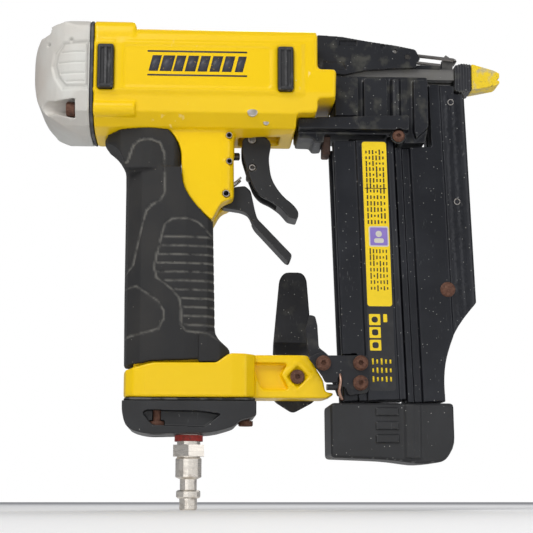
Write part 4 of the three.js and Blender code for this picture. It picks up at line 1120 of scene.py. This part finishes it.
for number, (parts, finish) in enumerate(on_label):
    dressed(merged(f"label_layer_{number}", parts), finish, "seal_rubber", "housing")

# ---- Small fixings ----------------------------------------------------------------------------------
# A domed rivet on the sliding rail, the roll pin and the bent spring wire of the latch, the two
# legs of the lever's torsion spring, and the plugs that close the drilled ways beside the trigger.


def turned(name, profile, sides=64):
    """A solid turned about the Z axis from (radius, height) pairs in millimetres."""
    work = bmesh.new()
    rings = []
    for radius, height in profile:
        if radius == 0:
            rings.append([work.verts.new((0, 0, height * MM))])
            continue
        turn = [2 * math.pi * i / sides for i in range(sides)]
        ring = [(radius * math.cos(a), radius * math.sin(a), height) for a in turn]
        rings.append([work.verts.new(Vector(place) * MM) for place in ring])
    for near, far in zip(rings, rings[1:]):
        for i in range(sides):
            j = i + 1
            corners = [near[i % len(near)], near[j % len(near)], far[j % len(far)], far[i % len(far)]]
            work.faces.new(list(dict.fromkeys(corners)))
    bmesh.ops.recalc_face_normals(work, faces=work.faces)
    return sharp_shaded(built(name, work))


def rivet(name, place, radius, height, material, slot, body):
    dome = [(0, -1.0), (radius, -1.0), (radius, 0)]
    dome += [(radius * math.cos(a), height * math.sin(a)) for a in (0.3, 0.6, 0.9, 1.2)] + [(0, height)]
    piece = turned(name, dome, 32)
    piece.data.transform(Matrix.Translation(placed(*place)) @ Matrix.Rotation(math.pi / 2, 4, "X"))
    dressed(piece, material, slot, body)


rail_face = (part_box("magazine_rail")[0].y - DRAWING_ORIGIN[1]) / MM
rivet("rail_rivet", (85.0, rail_face, -12.0), 3.6, 0.9, rusted_steel, "rusty_steel", "magazine_slide")
rivet("way_plug", (-7.9, -25.1, 69.1), 2.4, 0.25, pin_steel, "steel", "housing")
rivet("way_dowel", (-1.3, -21.5, 65.1), 1.4, 0.25, pin_steel, "steel", "housing")


brown_rubber = gasket_rubber("brown_rubber", (0.07, 0.035, 0.025), (0.13, 0.08, 0.06))
cushion = settled(eased_block("nose_cushion", placed(26.8, -6, 53.9), placed(30.5, 6, 63.9), 0.8, 3))
dressed(cushion, brown_rubber, "seal_rubber", "housing")


def wire(name, path, radius, material, slot, body):
    """Round wire bent along a path of drawing places."""
    curve = bpy.data.curves.new(name, "CURVE")
    curve.dimensions = "3D"
    curve.bevel_depth = radius * MM
    curve.bevel_resolution = 4
    curve.use_fill_caps = True
    line = curve.splines.new("NURBS")
    line.points.add(len(path) - 1)
    for point, place in zip(line.points, path):
        point.co = (*placed(*place), 1)
    line.use_endpoint_u = True
    line.order_u = 3
    line.resolution_u = 8
    bent = shown(name, curve)
    bpy.context.view_layer.update()
    mesh = bpy.data.meshes.new_from_object(bent.evaluated_get(bpy.context.evaluated_depsgraph_get()))
    bpy.data.objects.remove(bent)
    piece = shown(name, mesh)
    faced_outward(piece)
    piece.data.shade_smooth()
    dressed(piece, material, slot, body)


warm_wire = steel("warm_wire", (0.42, 0.26, 0.20), 0.4, False)
LATCH_BEND = [
    (33.2, -12.9, -51.5), (33.6, -15.2, -54), (33.2, -15.4, -58), (32.4, -15.2, -61), (34.4, -13.6, -64.5),
]
wire("latch_wire", LATCH_BEND, 0.75, warm_wire, "spring_steel", "housing")
wire("latch_pin", [(27.0, -13.6, -58.5), (30.0, -13.6, -58.5), (33.5, -13.6, -58.5)],
     1.4, latch_black, "spring_steel", "housing")
for name, side in (("left", -1), ("right", 1)):
    leg = [(-19.8, 3.2, 36.8), (-16, 3.4, 39.5), (-13.6, 3.4, 41.2), (-12.4, 3.4, 42.6)]
    wire(f"lever_spring_leg_{name}", [(x, side * y, z) for x, y, z in leg],
         0.5, spring_steel, "spring_steel", "housing")

# ---- Floor, lights and camera ---------------------------------------------------------------------
# A pale plain floor under the tool, a broad soft light from high on the left, a fill from the right
# and the front, and a long lens a little below the tool's middle.


def stage_floor():
    pale = Finish("pale_floor", (0.9, 0.9, 0.9), 0.6)
    pale.tint(pale.between(pale.noise(400), 0.4, 0.6), (0.88, 0.88, 0.88), 0.5)
    return pale.done()


low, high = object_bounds()
floor_mesh = bpy.data.meshes.new("floor")
floor_corners = [(x, y, low.z) for x, y in ((-3, -1.2), (3, -1.2), (3, 4), (-3, 4))]
floor_mesh.from_pydata(floor_corners, [], [(0, 1, 2, 3)])
floor = shown("floor", floor_mesh)
floor.data.materials.append(stage_floor())


def area_light(name, place, size, power, colour=(1, 1, 1)):
    light = bpy.data.lights.new(name, "AREA")
    light.shape = "RECTANGLE"
    light.size, light.size_y = size
    light.energy = power
    light.color = colour
    holder = bpy.data.objects.new(name, light)
    bpy.context.scene.collection.objects.link(holder)
    holder.location = place
    holder.rotation_euler = (Vector((0, 0, 0)) - Vector(place)).to_track_quat("-Z", "Y").to_euler()
    return holder


key_light = area_light("key_light", (-0.45, -0.75, 0.75), (0.7, 0.5), 7.5, (1, 0.99, 0.97))
fill_light = area_light("fill_light", (0.8, -0.7, 0.15), (0.6, 0.8), 2.4)
low_light = area_light("low_light", (-0.1, -0.9, -0.1), (0.9, 0.25), 1.5)
rim_light = area_light("rim_light", (0.3, 0.6, 0.7), (0.8, 0.4), 4)

world = bpy.data.worlds.new("studio")
bpy.context.scene.world = world
world.use_nodes = True
sky = world.node_tree.nodes
seen = sky.new("ShaderNodeLightPath")
backdrop = sky.new("ShaderNodeBackground")
backdrop.inputs["Color"].default_value = (1, 1, 1, 1)
sky["Background"].inputs["Color"].default_value = (0.92, 0.94, 1.0, 1)
sky["Background"].inputs["Strength"].default_value = 0.27
either = sky.new("ShaderNodeMixShader")
world.node_tree.links.new(seen.outputs["Is Camera Ray"], either.inputs[0])
world.node_tree.links.new(sky["Background"].outputs[0], either.inputs[1])
world.node_tree.links.new(backdrop.outputs[0], either.inputs[2])
world.node_tree.links.new(either.outputs[0], sky["World Output"].inputs[0])

AZIMUTH, ELEVATION, DISTANCE = math.radians(-3), math.radians(-9.5), 0.668
lens = bpy.data.cameras.new("camera")
camera = bpy.data.objects.new("camera", lens)
bpy.context.scene.collection.objects.link(camera)
toward = Vector((
    math.sin(AZIMUTH) * math.cos(ELEVATION), -math.cos(AZIMUTH) * math.cos(ELEVATION), math.sin(ELEVATION),
))
camera.location = placed(0, 0, 0) + toward * DISTANCE
camera.rotation_euler = (-toward).to_track_quat("-Z", "Y").to_euler()
lens.sensor_width = 36
lens.lens = 94.6
lens.clip_end = 20
bpy.context.scene.camera = camera
bpy.context.scene.view_settings.view_transform = "Standard"
